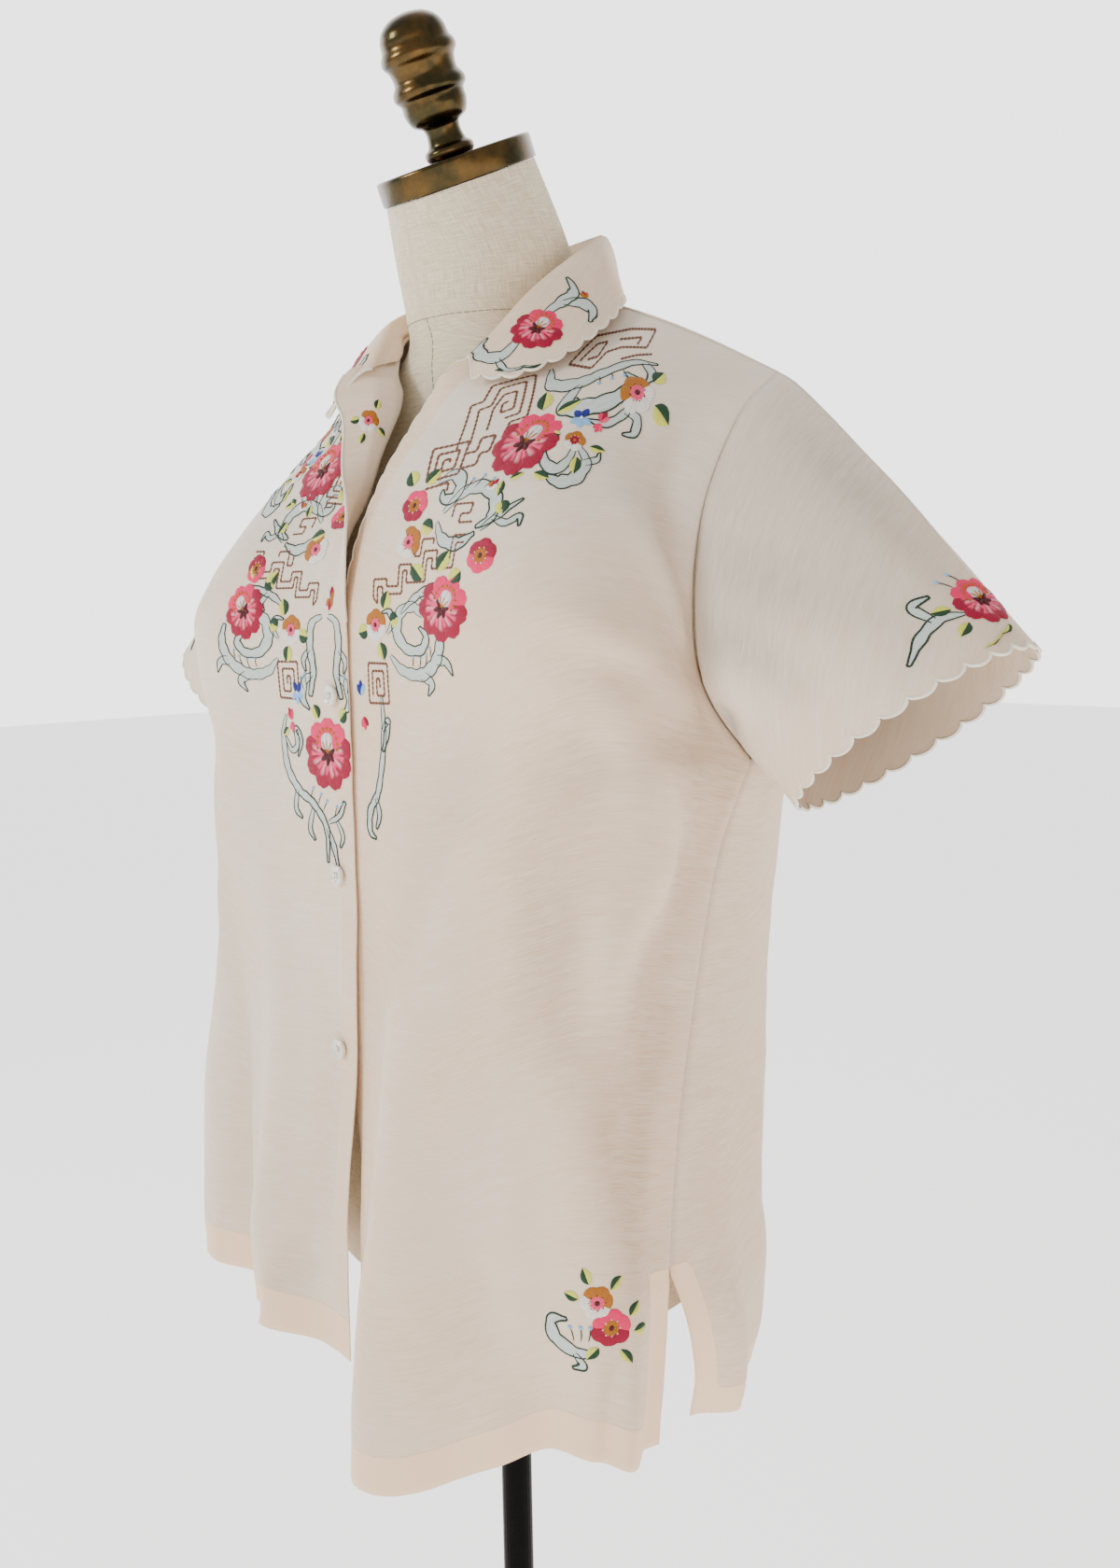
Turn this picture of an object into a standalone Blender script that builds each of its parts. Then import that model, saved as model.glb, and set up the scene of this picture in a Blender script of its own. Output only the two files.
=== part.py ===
# A short-sleeved button-front blouse, worn by a limbless dress form on a pole stand.
# Metres, +Z up. The blouse's front faces -Y and its left side is +X.
# The origin is the centre of the stand's underside.

import math
from collections import namedtuple

import bmesh
import bpy
from mathutils import Matrix, Vector

# Cloth and buttons
CLOTH = 0.0013  # thickness of every cloth wall
SEAM = 0.0003  # space between pieces that are sewn together
LAPEL_ROLL = 0.0045  # height at which the turned-out lapel lies over its front
BUTTON_TOP = 1.131  # height of the highest button above the floor
BUTTON_PITCH = 0.109
BUTTON_COUNT = 3
BUTTON_RADIUS = 0.0062
BUTTON_THICK = 0.0026
BUTTON_LIFT = 0.0008  # length of the thread under a button

# How finely each piece is drawn
PANEL_ROWS = ((0.18, 5), (0.60, 11), (0.94, 11), (0.955, 1), (1.00, 5))  # top, count
FRONT_COLUMNS = 16
LAPEL_STEPS = (-1.0, -0.62, -0.28, -0.10)
NECK_COLUMNS = 5  # half of the back neck
SHOULDER_COLUMNS = 8  # one shoulder of the back
SLEEVE_RINGS = 9
FORM_SIDES = 32
TURNED_SIDES = 24

# Dress form and stand
CAP_CENTRE = Vector((0.0, -0.026, 1.445))
CAP_RADIUS = 0.049
CAP_THICK = 0.0148
CAP_TILT = math.radians(24)
POLE_RADIUS = 0.0105
BASE_RADIUS = 0.195
BASE_THICK = 0.012
BASE_COLLAR_RADIUS = 0.026
BASE_COLLAR_TOP = 0.040

Section = namedtuple("Section", "height half_width front back centre tilt")
FORM_SECTIONS = (
    Section(0.757, 0.146, 0.098, 0.105, -0.003, 0),
    Section(0.800, 0.154, 0.102, 0.112, -0.003, 0),
    Section(0.860, 0.148, 0.095, 0.105, 0.000, 0),
    Section(0.920, 0.124, 0.082, 0.088, 0.000, 0),
    Section(0.975, 0.110, 0.078, 0.080, 0.000, 0),
    Section(1.040, 0.122, 0.088, 0.088, 0.000, 0),
    Section(1.110, 0.142, 0.104, 0.096, 0.000, 0),
    Section(1.160, 0.150, 0.104, 0.102, 0.000, 0),
    Section(1.215, 0.156, 0.092, 0.097, 0.004, 0),
    Section(1.255, 0.164, 0.074, 0.080, 0.008, 0),
    Section(1.285, 0.164, 0.060, 0.062, 0.010, 0),
    Section(1.306, 0.140, 0.057, 0.056, 0.009, 0),
    Section(1.326, 0.092, 0.054, 0.052, 0.005, 0),
    Section(1.343, 0.060, 0.051, 0.052, 0.003, 0),
    Section(1.364, 0.052, 0.055, 0.055, 0.001, 5),
    Section(1.392, 0.052, 0.056, 0.056, -0.004, 11),
)
FORM_NECK_TOP = 0.0475  # radius of the neck under its cap

Turning = namedtuple("Turning", "height radius")
FINIAL = (  # height above the cap, radius
    Turning(0.0000, 0.0135),
    Turning(0.0020, 0.0150),
    Turning(0.0055, 0.0150),
    Turning(0.0085, 0.0118),
    Turning(0.0185, 0.0112),
    Turning(0.0215, 0.0165),
    Turning(0.0285, 0.0195),
    Turning(0.0345, 0.0197),
    Turning(0.0375, 0.0222),
    Turning(0.0412, 0.0222),
    Turning(0.0460, 0.0196),
    Turning(0.0530, 0.0204),
    Turning(0.0565, 0.0228),
    Turning(0.0602, 0.0228),
    Turning(0.0640, 0.0208),
    Turning(0.0700, 0.0198),
    Turning(0.0755, 0.0165),
    Turning(0.0798, 0.0095),
)
FINIAL_TOP = 0.0815

# Edges of the panels, drawn for the left side: share of the way up, and the place
VENT_TOP = 0.18
ARMPIT = 0.60
Station = namedtuple("Station", "up x y z")
FRONT_VENT = (
    Station(0.00, 0.183, -0.054, 0.709),
    Station(0.09, 0.186, -0.052, 0.760),
    Station(0.18, 0.188, -0.050, 0.812),
)
BACK_VENT = (
    Station(0.00, 0.166, -0.008, 0.699),
    Station(0.06, 0.179, -0.018, 0.735),
    Station(0.12, 0.187, -0.034, 0.775),
    Station(0.18, 0.188, -0.050, 0.812),
)
SIDE_SEAM = (
    Station(0.18, 0.188, -0.050, 0.812),
    Station(0.28, 0.190, -0.046, 0.880),
    Station(0.39, 0.193, -0.037, 0.950),
    Station(0.52, 0.200, -0.021, 1.045),
    Station(0.60, 0.206, 0.000, 1.097),
)
FRONT_ARMHOLE = (
    Station(0.60, 0.206, 0.000, 1.097),
    Station(0.68, 0.202, -0.033, 1.135),
    Station(0.76, 0.199, -0.040, 1.175),
    Station(0.86, 0.199, -0.032, 1.232),
    Station(0.94, 0.201, -0.004, 1.282),
    Station(1.00, 0.205, 0.024, 1.306),
)
BACK_ARMHOLE = (
    Station(0.60, 0.206, 0.000, 1.097),
    Station(0.68, 0.199, 0.046, 1.130),
    Station(0.76, 0.195, 0.068, 1.172),
    Station(0.86, 0.195, 0.073, 1.232),
    Station(0.94, 0.198, 0.056, 1.282),
    Station(1.00, 0.205, 0.024, 1.306),
)
LEFT_CENTRE = (  # where the left front comes out from under the right, then its roll line
    Station(0.00, -0.004, -0.129, 0.684),
    Station(0.10, -0.002, -0.126, 0.752),
    Station(0.20, 0.000, -0.122, 0.822),
    Station(0.30, 0.001, -0.119, 0.892),
    Station(0.42, 0.000, -0.1175, 0.975),
    Station(0.52, 0.000, -0.117, 1.045),
    Station(0.62, 0.000, -0.1175, 1.115),
    Station(0.71, 0.003, -0.117, 1.180),
    Station(0.77, 0.010, -0.111, 1.222),
    Station(0.82, 0.022, -0.102, 1.253),
    Station(0.88, 0.037, -0.086, 1.284),
    Station(0.94, 0.053, -0.060, 1.318),
    Station(1.00, 0.064, 0.020, 1.367),
)
RIGHT_CENTRE = (  # the line of the buttons, then the right front's roll line
    Station(0.00, 0.014, -0.136, 0.722),
    Station(0.10, 0.022, -0.130, 0.770),
    Station(0.20, 0.024, -0.126, 0.828),
    Station(0.30, 0.019, -0.122, 0.894),
    Station(0.42, 0.016, -0.120, 0.975),
    Station(0.52, 0.016, -0.1195, 1.045),
    Station(0.62, 0.016, -0.1195, 1.115),
    Station(0.71, 0.016, -0.117, 1.180),
    Station(0.77, 0.014, -0.105, 1.222),
    Station(0.82, 0.012, -0.091, 1.248),
    Station(0.88, 0.013, -0.078, 1.280),
    Station(0.94, 0.019, -0.068, 1.312),
    Station(0.955, 0.030, -0.062, 1.327),
    Station(0.975, 0.053, -0.030, 1.353),
    Station(1.00, 0.064, 0.020, 1.367),
)
BACK_CENTRE = (
    Station(0.00, 0.0, 0.126, 0.690),
    Station(0.15, 0.0, 0.132, 0.790),
    Station(0.28, 0.0, 0.135, 0.870),
    Station(0.52, 0.0, 0.137, 1.040),
    Station(0.68, 0.0, 0.134, 1.150),
    Station(0.80, 0.0, 0.126, 1.235),
    Station(0.92, 0.0, 0.102, 1.325),
    Station(1.00, 0.0, 0.069, 1.374),
)

# Free edge of each front, measured from its centre line. It is the button overlap low
# down, then the lapel, then a narrow turning under the collar.
LEFT_FREE = (
    Station(0.00, -0.007, 0.010, 0.002),
    Station(0.10, -0.008, 0.010, 0.000),
    Station(0.20, -0.010, 0.008, 0.000),
    Station(0.30, -0.013, 0.003, 0.000),
    Station(0.42, -0.013, 0.001, 0.000),
    Station(0.66, -0.013, 0.001, 0.000),
    Station(0.74, -0.012, 0.004, 0.003),
    Station(0.80, -0.010, 0.007, 0.010),
    Station(0.88, -0.014, 0.008, 0.013),
    Station(0.93, -0.014, 0.002, 0.008),
    Station(0.955, -0.0010, 0.0000, 0.0028),
    Station(1.00, -0.0005, 0.0000, 0.0012),
)
RIGHT_FREE = (
    Station(0.00, -0.017, -0.002, 0.000),
    Station(0.10, -0.017, -0.002, 0.000),
    Station(0.42, -0.017, -0.001, 0.000),
    Station(0.66, -0.017, -0.001, 0.000),
    Station(0.71, -0.017, -0.003, 0.000),
    Station(0.77, -0.014, -0.010, 0.000),
    Station(0.82, -0.004, -0.017, -0.004),
    Station(0.86, 0.010, -0.017, -0.005),
    Station(0.91, 0.019, -0.016, -0.002),
    Station(0.94, 0.018, -0.015, -0.006),
    Station(0.955, 0.0000, -0.0010, 0.0028),
    Station(1.00, -0.0005, 0.0000, 0.0012),
)
COLLAR_START = 0.955  # share of the way up a front at which the collar begins

# Long soft folds. Place across the panel, reach towards the centre and the side, depth,
# and the shares of the height up to which a fold is full and where it has died out.
Fold = namedtuple("Fold", "place inner outer depth full gone drift")
LEFT_FOLDS = (
    Fold(0.54, 0.44, 0.46, 0.026, 0.70, 1.00, 0.00),
    Fold(0.13, 0.13, 0.26, 0.044, 0.02, 0.66, 0.02),
    Fold(0.54, 0.20, 0.18, -0.018, 0.00, 0.50, -0.06),
    Fold(0.82, 0.11, 0.11, 0.014, 0.00, 0.35, 0.02),
)
RIGHT_FOLDS = (
    Fold(0.54, 0.44, 0.46, 0.026, 0.70, 1.00, 0.00),
    Fold(0.16, 0.14, 0.12, 0.020, 0.00, 0.50, 0.05),
    Fold(0.40, 0.12, 0.12, -0.020, 0.00, 0.50, 0.02),
    Fold(0.64, 0.18, 0.18, 0.010, 0.05, 0.60, 0.00),
)
BACK_FOLDS = (
    Fold(0.36, 0.14, 0.14, -0.012, 0.02, 0.62, 0.03),
    Fold(0.62, 0.14, 0.16, 0.008, 0.10, 0.60, 0.00),
    Fold(0.87, 0.12, 0.12, 0.012, 0.00, 0.26, 0.00),
    Fold(-0.38, 0.14, 0.14, -0.012, 0.02, 0.62, -0.03),
    Fold(-0.62, 0.16, 0.14, 0.008, 0.10, 0.60, 0.00),
    Fold(-0.87, 0.12, 0.12, 0.012, 0.00, 0.26, 0.00),
    Fold(0.00, 0.18, 0.18, 0.008, 0.02, 0.60, 0.00),
)

# Waves of the hem: place across a front, and how far each hem is raised there.
Wave = namedtuple("Wave", "across left right back")
HEM_WAVES = (
    Wave(0.00, 0.000, 0.000, 0.000),
    Wave(0.14, -0.010, 0.004, 0.000),
    Wave(0.26, -0.006, 0.004, 0.000),
    Wave(0.42, 0.010, 0.014, 0.000),
    Wave(0.60, 0.022, 0.018, 0.000),
    Wave(0.84, 0.010, 0.012, -0.008),
    Wave(1.00, 0.000, 0.000, 0.000),
)
HEM_REACH = 0.35  # the waves of the hem die out this far up

# Collar, drawn for the left side: share of the way from the centre back to a front end
Ring = namedtuple("Ring", "along fold_x fold_y fold_z edge_x edge_y edge_z")
COLLAR_LEFT = (
    Ring(0.00, 0.000, 0.072, 1.417, 0.000, 0.103, 1.360),
    Ring(0.25, 0.035, 0.063, 1.415, 0.042, 0.073, 1.370),
    Ring(0.48, 0.060, 0.032, 1.402, 0.093, 0.023, 1.362),
    Ring(0.62, 0.066, 0.006, 1.388, 0.107, -0.004, 1.345),
    Ring(0.80, 0.065, -0.030, 1.362, 0.106, -0.040, 1.322),
    Ring(0.92, 0.058, -0.052, 1.338, 0.088, -0.064, 1.310),
    Ring(1.00, 0.051, -0.064, 1.324, 0.063, -0.072, 1.312),
)
COLLAR_RIGHT = (
    Ring(0.00, 0.000, 0.072, 1.417, 0.000, 0.103, 1.360),
    Ring(0.25, 0.035, 0.063, 1.413, 0.042, 0.073, 1.370),
    Ring(0.48, 0.061, 0.032, 1.394, 0.093, 0.023, 1.364),
    Ring(0.62, 0.067, 0.002, 1.380, 0.105, -0.004, 1.349),
    Ring(0.78, 0.060, -0.030, 1.366, 0.104, -0.038, 1.326),
    Ring(0.90, 0.045, -0.052, 1.350, 0.088, -0.062, 1.312),
    Ring(1.00, 0.035, -0.068, 1.338, 0.058, -0.083, 1.310),
)

# Sleeve, drawn for the left side
HEM_MIDDLE = Vector((0.303, 0.004, 1.117))
HEM_LONG = Vector((0.061, 0.0, 0.0440))  # from the middle of the hem to its upper end
HEM_SHORT = Vector((0.0, 0.050, 0.0))
SLEEVE_CAP = 0.006  # how far the sleeve's top rises above a straight run
SLEEVE_PUFF = 0.008

CHEST = 0.015  # roundness of the upper chest
SHOULDER = 0.004  # how far the shoulder seam arches


def smooth(t):
    t = min(max(t, 0.0), 1.0)
    return t * t * (3 - 2 * t)


def read(rows, share, names):
    # Smooth values of the named columns of a table, at a share of its first column.
    keys = [row[0] for row in rows]
    share = min(max(share, keys[0]), keys[-1])
    i = min(max(k for k in range(len(rows)) if keys[k] <= share), len(rows) - 2)
    span = keys[i + 1] - keys[i]
    t = (share - keys[i]) / span
    found = []
    for name in names:
        v = [getattr(row, name) for row in rows]
        slopes = []
        for j in (i, i + 1):
            a, b = max(j - 1, 0), min(j + 1, len(rows) - 1)
            slopes.append((v[b] - v[a]) / (keys[b] - keys[a]) * span)
        ease = t * t * (3 - 2 * t)
        found.append(
            v[i] * (1 - ease)
            + v[i + 1] * ease
            + slopes[0] * t * (1 - t) ** 2
            - slopes[1] * t * t * (1 - t)
        )
    return found


def place(rows, up):
    return Vector(read(rows, up, ("x", "y", "z")))


def side_edge(up, front):
    # The outer edge of a panel: vent, side seam and armhole.
    if up < VENT_TOP:
        return place(FRONT_VENT if front else BACK_VENT, up)
    if up <= ARMPIT:
        return place(SIDE_SEAM, up)
    return place(FRONT_ARMHOLE if front else BACK_ARMHOLE, up)


def fold_height(folds, across, up):
    # How far the folds push the cloth outwards.
    total = 0.0
    for fold in folds:
        away = across - fold.place - fold.drift * up
        reach = fold.inner if away < 0 else fold.outer
        if abs(away) < reach:
            wave = 0.5 + 0.5 * math.cos(math.pi * away / reach)
            total += fold.depth * wave * (1 - smooth((up - fold.full) / (fold.gone - fold.full)))
    return total


def body_row(across, centre, side, flat, full):
    # A rounded row from the middle of a panel to its side, straight where flat is 1.
    turn = across * math.pi / 2
    out = (1 - flat) * math.sin(turn) ** full + flat * across
    back = (1 - flat) * (1 - max(math.cos(turn), 0.0) ** full) + flat * across
    return Vector((
        centre.x + (side.x - centre.x) * out,
        centre.y + (side.y - centre.y) * back,
        centre.z + (side.z - centre.z) * across,
    ))


def front_point(across, up, centre_rows, free_rows, folds, hem, roll):
    # A point of a front, drawn for the left side. Below 0 it lies beyond the centre line.
    centre = place(centre_rows, up)
    side = side_edge(up, True)
    flat = smooth((up - 0.60) / 0.40)
    a = max(across, 0.0)
    p = body_row(a, centre, side, flat, 0.84)
    turn = a * math.pi / 2
    lean = Vector((0.8 * math.sin(turn), -math.cos(turn * 0.9), 0.3 * flat)).normalized()
    p.z += SHOULDER * flat * math.sin(math.pi * a)
    p += lean * (fold_height(folds, a, up) + CHEST * 4 * flat * (1 - flat) * math.sin(math.pi * a))
    p.z += read(HEM_WAVES, a, (hem,))[0] * (1 - smooth(up / HEM_REACH))
    if across < 0:
        rise = roll * smooth((up - 0.70) / 0.08) * smooth((0.96 - up) / 0.03)
        p += place(free_rows, up) * -across
        p += Vector((-0.2, -0.8, 0.5)) * rise * math.sin(min(-across / 0.28, 1.0) * math.pi / 2)
    return p


def left_front(across, up):
    return front_point(across, up, LEFT_CENTRE, LEFT_FREE, LEFT_FOLDS, "left", 0.0)


def right_front(across, up):
    p = front_point(across, up, RIGHT_CENTRE, RIGHT_FREE, RIGHT_FOLDS, "right", LAPEL_ROLL)
    return Vector((-p.x, p.y, p.z))


NECK_SHARE = 1 / 3  # share of the back's top row that is its neckline


def back_top(a):
    # The back's top row: half the neckline, then the shoulder seam.
    neck = left_front(-1.0, 1.0)
    tip = side_edge(1.0, False)
    middle = place(BACK_CENTRE, 1.0)
    if a < NECK_SHARE:
        turn = a / NECK_SHARE * math.pi / 2
        return Vector((
            neck.x * math.sin(turn),
            neck.y + (middle.y - neck.y) * math.cos(turn),
            neck.z + (middle.z - neck.z) * math.cos(turn),
        ))
    share = (a - NECK_SHARE) / (1 - NECK_SHARE)
    return neck.lerp(tip, share) + Vector((0, 0, SHOULDER * math.sin(math.pi * share)))


def back_point(across, up):
    # across runs from -1 at the right side to 1 at the left side.
    a = abs(across)
    side = side_edge(up, False)
    centre = place(BACK_CENTRE, up)
    flat = smooth((up - 0.62) / 0.38)
    p = body_row(a, centre, side, flat, 0.90)
    p.z += read(HEM_WAVES, a, ("back",))[0] * (1 - smooth(up / HEM_REACH))
    straight = place(BACK_CENTRE, 1.0).lerp(side_edge(1.0, False), a)
    p += (back_top(a) - straight) * max((up - 0.80) / 0.20, 0.0) ** 1.5
    turn = a * math.pi / 2
    lean = Vector((0.8 * math.sin(turn), math.cos(turn * 0.9), 0.2 * flat)).normalized()
    p += lean * fold_height(BACK_FOLDS, across, up)
    return Vector((math.copysign(p.x, across), p.y, p.z))


def armhole(turn):
    # The left armhole, as a loop: 0 at the armpit, a quarter in front, a half at the top.
    t = turn % 1.0
    return side_edge(armhole_up(t), t <= 0.5)


def armhole_up(turn):
    return ARMPIT + (1 - ARMPIT) * 2 * min(turn, 1 - turn)


ARMPIT_MITRE = 1.7  # how much deeper the wall is in the sharp angle of the armpit


def seam_inward(up, front):
    # Direction through the wall at a panel's side edge, shared by the pieces sewn there.
    if up < ARMPIT:
        rise = smooth((up - 0.5) / (ARMPIT - 0.5))
        d = Vector((-1.0, 0.0, 0.0)).lerp(Vector((-0.5, 0.0, 0.9)), rise).normalized()
        return d * (1 + (ARMPIT_MITRE - 1) * rise)
    turn = math.pi * (up - ARMPIT) / (1 - ARMPIT)
    lean = 0.5 - 0.15 * (turn / math.pi) + 0.5 * math.sin(turn)
    side = math.sin(turn) * (1 if front else -1)
    d = Vector((-lean, side, 0.9 * math.cos(turn))).normalized()
    return d * (1 + (ARMPIT_MITRE - 1) * max(math.cos(turn), 0.0) ** 2)


def sleeve_point(turn, out):
    # turn runs round the armhole, out runs from it to the hem.
    start = armhole(turn)
    angle = 2 * math.pi * turn
    end = HEM_MIDDLE - HEM_LONG * math.cos(angle) - HEM_SHORT * math.sin(angle)
    p = start.lerp(end, out)
    top = 0.5 - 0.5 * math.cos(angle)
    swell = math.sin(math.pi * out ** 0.75)
    p += Vector((0.45, 0.0, 0.9)) * SLEEVE_CAP * swell * top**2
    p += Vector((0.0, -math.sin(angle), -0.3)) * SLEEVE_PUFF * swell * abs(math.sin(angle))
    return p


def outward(point, a, b, step, limits):
    # Outward direction of a surface of two shares, from its own points.
    (a_low, a_high), (b_low, b_high) = limits
    along_a = point(min(a + step, a_high), b) - point(max(a - step, a_low), b)
    along_b = point(a, min(b + step, b_high)) - point(a, max(b - step, b_low))
    return along_a.cross(along_b).normalized()


def material(name, colour, roughness, metallic):
    m = bpy.data.materials.new(name)
    m.use_nodes = True
    shader = m.node_tree.nodes["Principled BSDF"]
    shader.inputs["Base Color"].default_value = (*colour, 1.0)
    shader.inputs["Roughness"].default_value = roughness
    shader.inputs["Metallic"].default_value = metallic
    return m


def add_object(name, bm, finish, smooth_angle=40):
    bmesh.ops.recalc_face_normals(bm, faces=bm.faces)
    mesh = bpy.data.meshes.new(name)
    bm.to_mesh(mesh)
    bm.free()
    mesh.shade_smooth()
    mesh.set_sharp_from_angle(angle=math.radians(smooth_angle))
    mesh.materials.append(finish)
    obj = bpy.data.objects.new(name, mesh)
    bpy.context.collection.objects.link(obj)
    return obj


def cloth_wall(name, a_values, b_values, point, inward, finish, tube=False):
    # A wall of cloth over a grid of two shares. Its second face lies inwards.
    bm = bmesh.new()
    bmesh.ops.create_grid(
        bm, x_segments=len(a_values) - 1, y_segments=len(b_values) - 1, size=1.0
    )
    depth = {}
    for vert in bm.verts:
        i = round((vert.co.x + 1) / 2 * (len(a_values) - 1))
        j = round((vert.co.y + 1) / 2 * (len(b_values) - 1))
        vert.co = point(a_values[i], b_values[j])
        depth[tuple(vert.co)] = inward(a_values[i], b_values[j]) * CLOTH
    if tube:
        bmesh.ops.remove_doubles(bm, verts=bm.verts, dist=0.00001)
    outer = {vert: vert.co + depth[tuple(vert.co)] for vert in bm.verts}
    kept = list(bm.faces)
    made = bmesh.ops.extrude_face_region(bm, geom=kept, use_keep_orig=True)["geom"]
    new_verts = [g for g in made if isinstance(g, bmesh.types.BMVert)]
    places = {tuple(old.co): inner for old, inner in outer.items()}
    for vert in new_verts:
        vert.co = places[tuple(vert.co)]
    return add_object(name, bm, finish)


def shares(count, low=0.0, high=1.0):
    return [low + (high - low) * k / (count - 1) for k in range(count)]


def panel_rows():
    rows = [0.0]
    for top, count in PANEL_ROWS:
        rows += shares(count + 1, rows[-1], top)[1:]
    return rows


def add_front(name, point, mirror, finish):
    rows = panel_rows()
    columns = list(LAPEL_STEPS) + shares(FRONT_COLUMNS)
    sign = -1 if mirror else 1
    limits = ((-1.0, 1.0), (0.0, 1.0))

    def seated(across, up):
        p = point(across, up)
        if across == 1.0:
            p -= (point(1.0, up) - point(0.99, up)).normalized() * SEAM / 2
        if up == 1.0:
            p += (point(across, 0.99) - p).normalized() * SEAM / 2
        return p

    def inward(across, up):
        if across == 1.0:
            d = seam_inward(up, True)
            return Vector((sign * d.x, d.y, d.z))
        if across == -1.0 and COLLAR_START <= up < 1.0:
            return (to_neck(point(across, up)) + Vector((0, 0, -0.2))).normalized()
        if up == 1.0:
            d = shoulder_inward(max(across, 0.0))
            return Vector((sign * d.x, d.y, d.z))
        return outward(point, across, up, 0.004, limits) * -sign

    return cloth_wall(name, columns, rows, seated, inward, finish)


def shoulder_inward(across):
    # Direction through the wall along the shoulder seam, from the neck to the tip.
    tip = seam_inward(1.0, True)
    return Vector((0, 0, -1)).lerp(tip, smooth((across - 0.6) / 0.4)).normalized()


def add_back(finish):
    rows = panel_rows()
    half = shares(NECK_COLUMNS + 1, 0.0, NECK_SHARE)
    half += shares(SHOULDER_COLUMNS + 1, NECK_SHARE, 1.0)[1:]
    columns = [-a for a in reversed(half[1:])] + half
    limits = ((-1.0, 1.0), (0.0, 1.0))

    def seated(across, up):
        p = back_point(across, up)
        if abs(across) == 1.0:
            p += (back_point(across * 0.99, up) - p).normalized() * SEAM / 2
        if up == 1.0:
            p += (back_point(across, 0.99) - p).normalized() * SEAM / 2
        return p

    def inward(across, up):
        sign = 1 if across > 0 else -1
        if abs(across) == 1.0:
            d = seam_inward(up, False)
            return Vector((sign * d.x, d.y, d.z))
        if up == 1.0 and abs(across) < NECK_SHARE - 0.001:
            return (to_neck(back_point(across, up)) + Vector((0, 0, -0.6))).normalized()
        if up == 1.0:
            share = (abs(across) - NECK_SHARE) / (1 - NECK_SHARE)
            d = shoulder_inward(max(share, 0.0))
            return Vector((sign * d.x, d.y, d.z))
        return outward(back_point, across, up, 0.004, limits)

    return cloth_wall("back", columns, rows, seated, inward, finish)


def sleeve_clear(turn):
    # Level-with-the-seam direction that leads from the armhole's rim to the sleeve.
    run = armhole(turn + 0.01) - armhole(turn - 0.01)
    d = run.cross(seam_inward(armhole_up(turn), turn <= 0.5)).normalized()
    return d if d.x > 0 else -d


def add_sleeve(name, sign, finish):
    half = [(up - ARMPIT) / (1 - ARMPIT) / 2 for up in panel_rows() if up >= ARMPIT]
    turns = half + [1 - t for t in reversed(half[:-1])]
    outs = shares(SLEEVE_RINGS)
    limits = ((-1.0, 2.0), (0.0, 1.0))

    def seated(turn, out):
        p = sleeve_point(turn % 1.0, out)
        if out == 0.0:
            p += sleeve_clear(turn % 1.0) * SEAM * 1.5
        return Vector((sign * p.x, p.y, p.z))

    def inward(turn, out):
        turn = turn % 1.0
        if out == 0.0:
            d = seam_inward(armhole_up(turn), turn <= 0.5)
        else:
            d = outward(sleeve_point, turn, out, 0.004, limits)
        return Vector((sign * d.x, d.y, d.z))

    return cloth_wall(name, turns, outs, seated, inward, finish, tube=True)


def neck_seam(along):
    # The neckline that the collar is sewn to: 0 at the centre back, 1 at its front end.
    share = abs(along)
    if share < 0.5:
        p = back_top(NECK_SHARE * share * 2)
        return Vector((math.copysign(p.x, along), p.y, p.z))
    up = 1 - (1 - COLLAR_START) * (share - 0.5) * 2
    return left_front(-1.0, up) if along > 0 else right_front(-1.0, up)


def to_neck(p):
    # Level direction from a point of the neckline to the middle of the neck.
    return Vector((-p.x, -p.y, 0.0)).normalized()


def collar_point(along, over):
    # over runs from the neckline seam, up to the fold, and down to the free edge.
    share = abs(along)
    seam = neck_seam(along)
    v = read(COLLAR_LEFT if along > 0 else COLLAR_RIGHT, share, Ring._fields[1:])
    sign = math.copysign(1.0, along)
    fold, edge = Vector((sign * v[0], v[1], v[2])), Vector((sign * v[3], v[4], v[5]))
    seam += to_neck(seam) * CLOTH + Vector((0, 0, SEAM * 2))
    if over < COLLAR_FOLD:
        p = seam.lerp(fold, over / COLLAR_FOLD)
    else:
        t = (over - COLLAR_FOLD) / (1 - COLLAR_FOLD)
        p = fold.lerp(edge, t)
        away = Vector((edge.x - fold.x, edge.y - fold.y, 0)).normalized()
        p += (away * 0.004 + Vector((0, 0, 0.002))) * math.sin(math.pi * t**0.6)
    return p


COLLAR_FOLD = 0.4  # share of the collar's depth that stands up
COLLAR_STEPS = (0.0, 0.2, COLLAR_FOLD, 0.55, 0.7, 0.85, 1.0)
FOLD_MITRE = 2.0  # how much deeper the wall is across the sharp fold


def add_collar(finish):
    half = shares(NECK_COLUMNS + 1, 0.0, 0.5)
    half += shares(PANEL_ROWS[-1][1] + 1, 0.5, 1.0)[1:]
    columns = [-a for a in reversed(half[1:])] + half
    limits = ((-1.0, 1.0), (0.0, 1.0))

    def inward(along, over):
        if over == 0.0:
            return -to_neck(neck_seam(along))
        d = outward(collar_point, along, over, 0.02, limits) * -1
        return d * FOLD_MITRE if over == COLLAR_FOLD else d

    return cloth_wall("collar", columns, COLLAR_STEPS, collar_point, inward, finish)


def turned(bm, profile, sides):
    # A closed solid of revolution about Z from (radius, height) pairs.
    rings = []
    for radius, height in profile:
        made = bmesh.ops.create_circle(bm, segments=sides, radius=radius)["verts"]
        bmesh.ops.translate(bm, verts=made, vec=(0, 0, height))
        rings.append(made)
    close_rings(bm, rings)
    return [v for ring in rings for v in ring]


def close_rings(bm, rings):
    # Joins rings of equal count and closes both ends.
    for low, high in zip(rings, rings[1:]):
        edges = [e for ring in (low, high) for e in ring_edges(ring)]
        bmesh.ops.bridge_loops(bm, edges=edges)
    bm.faces.new(rings[0])
    bm.faces.new(rings[-1])


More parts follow.
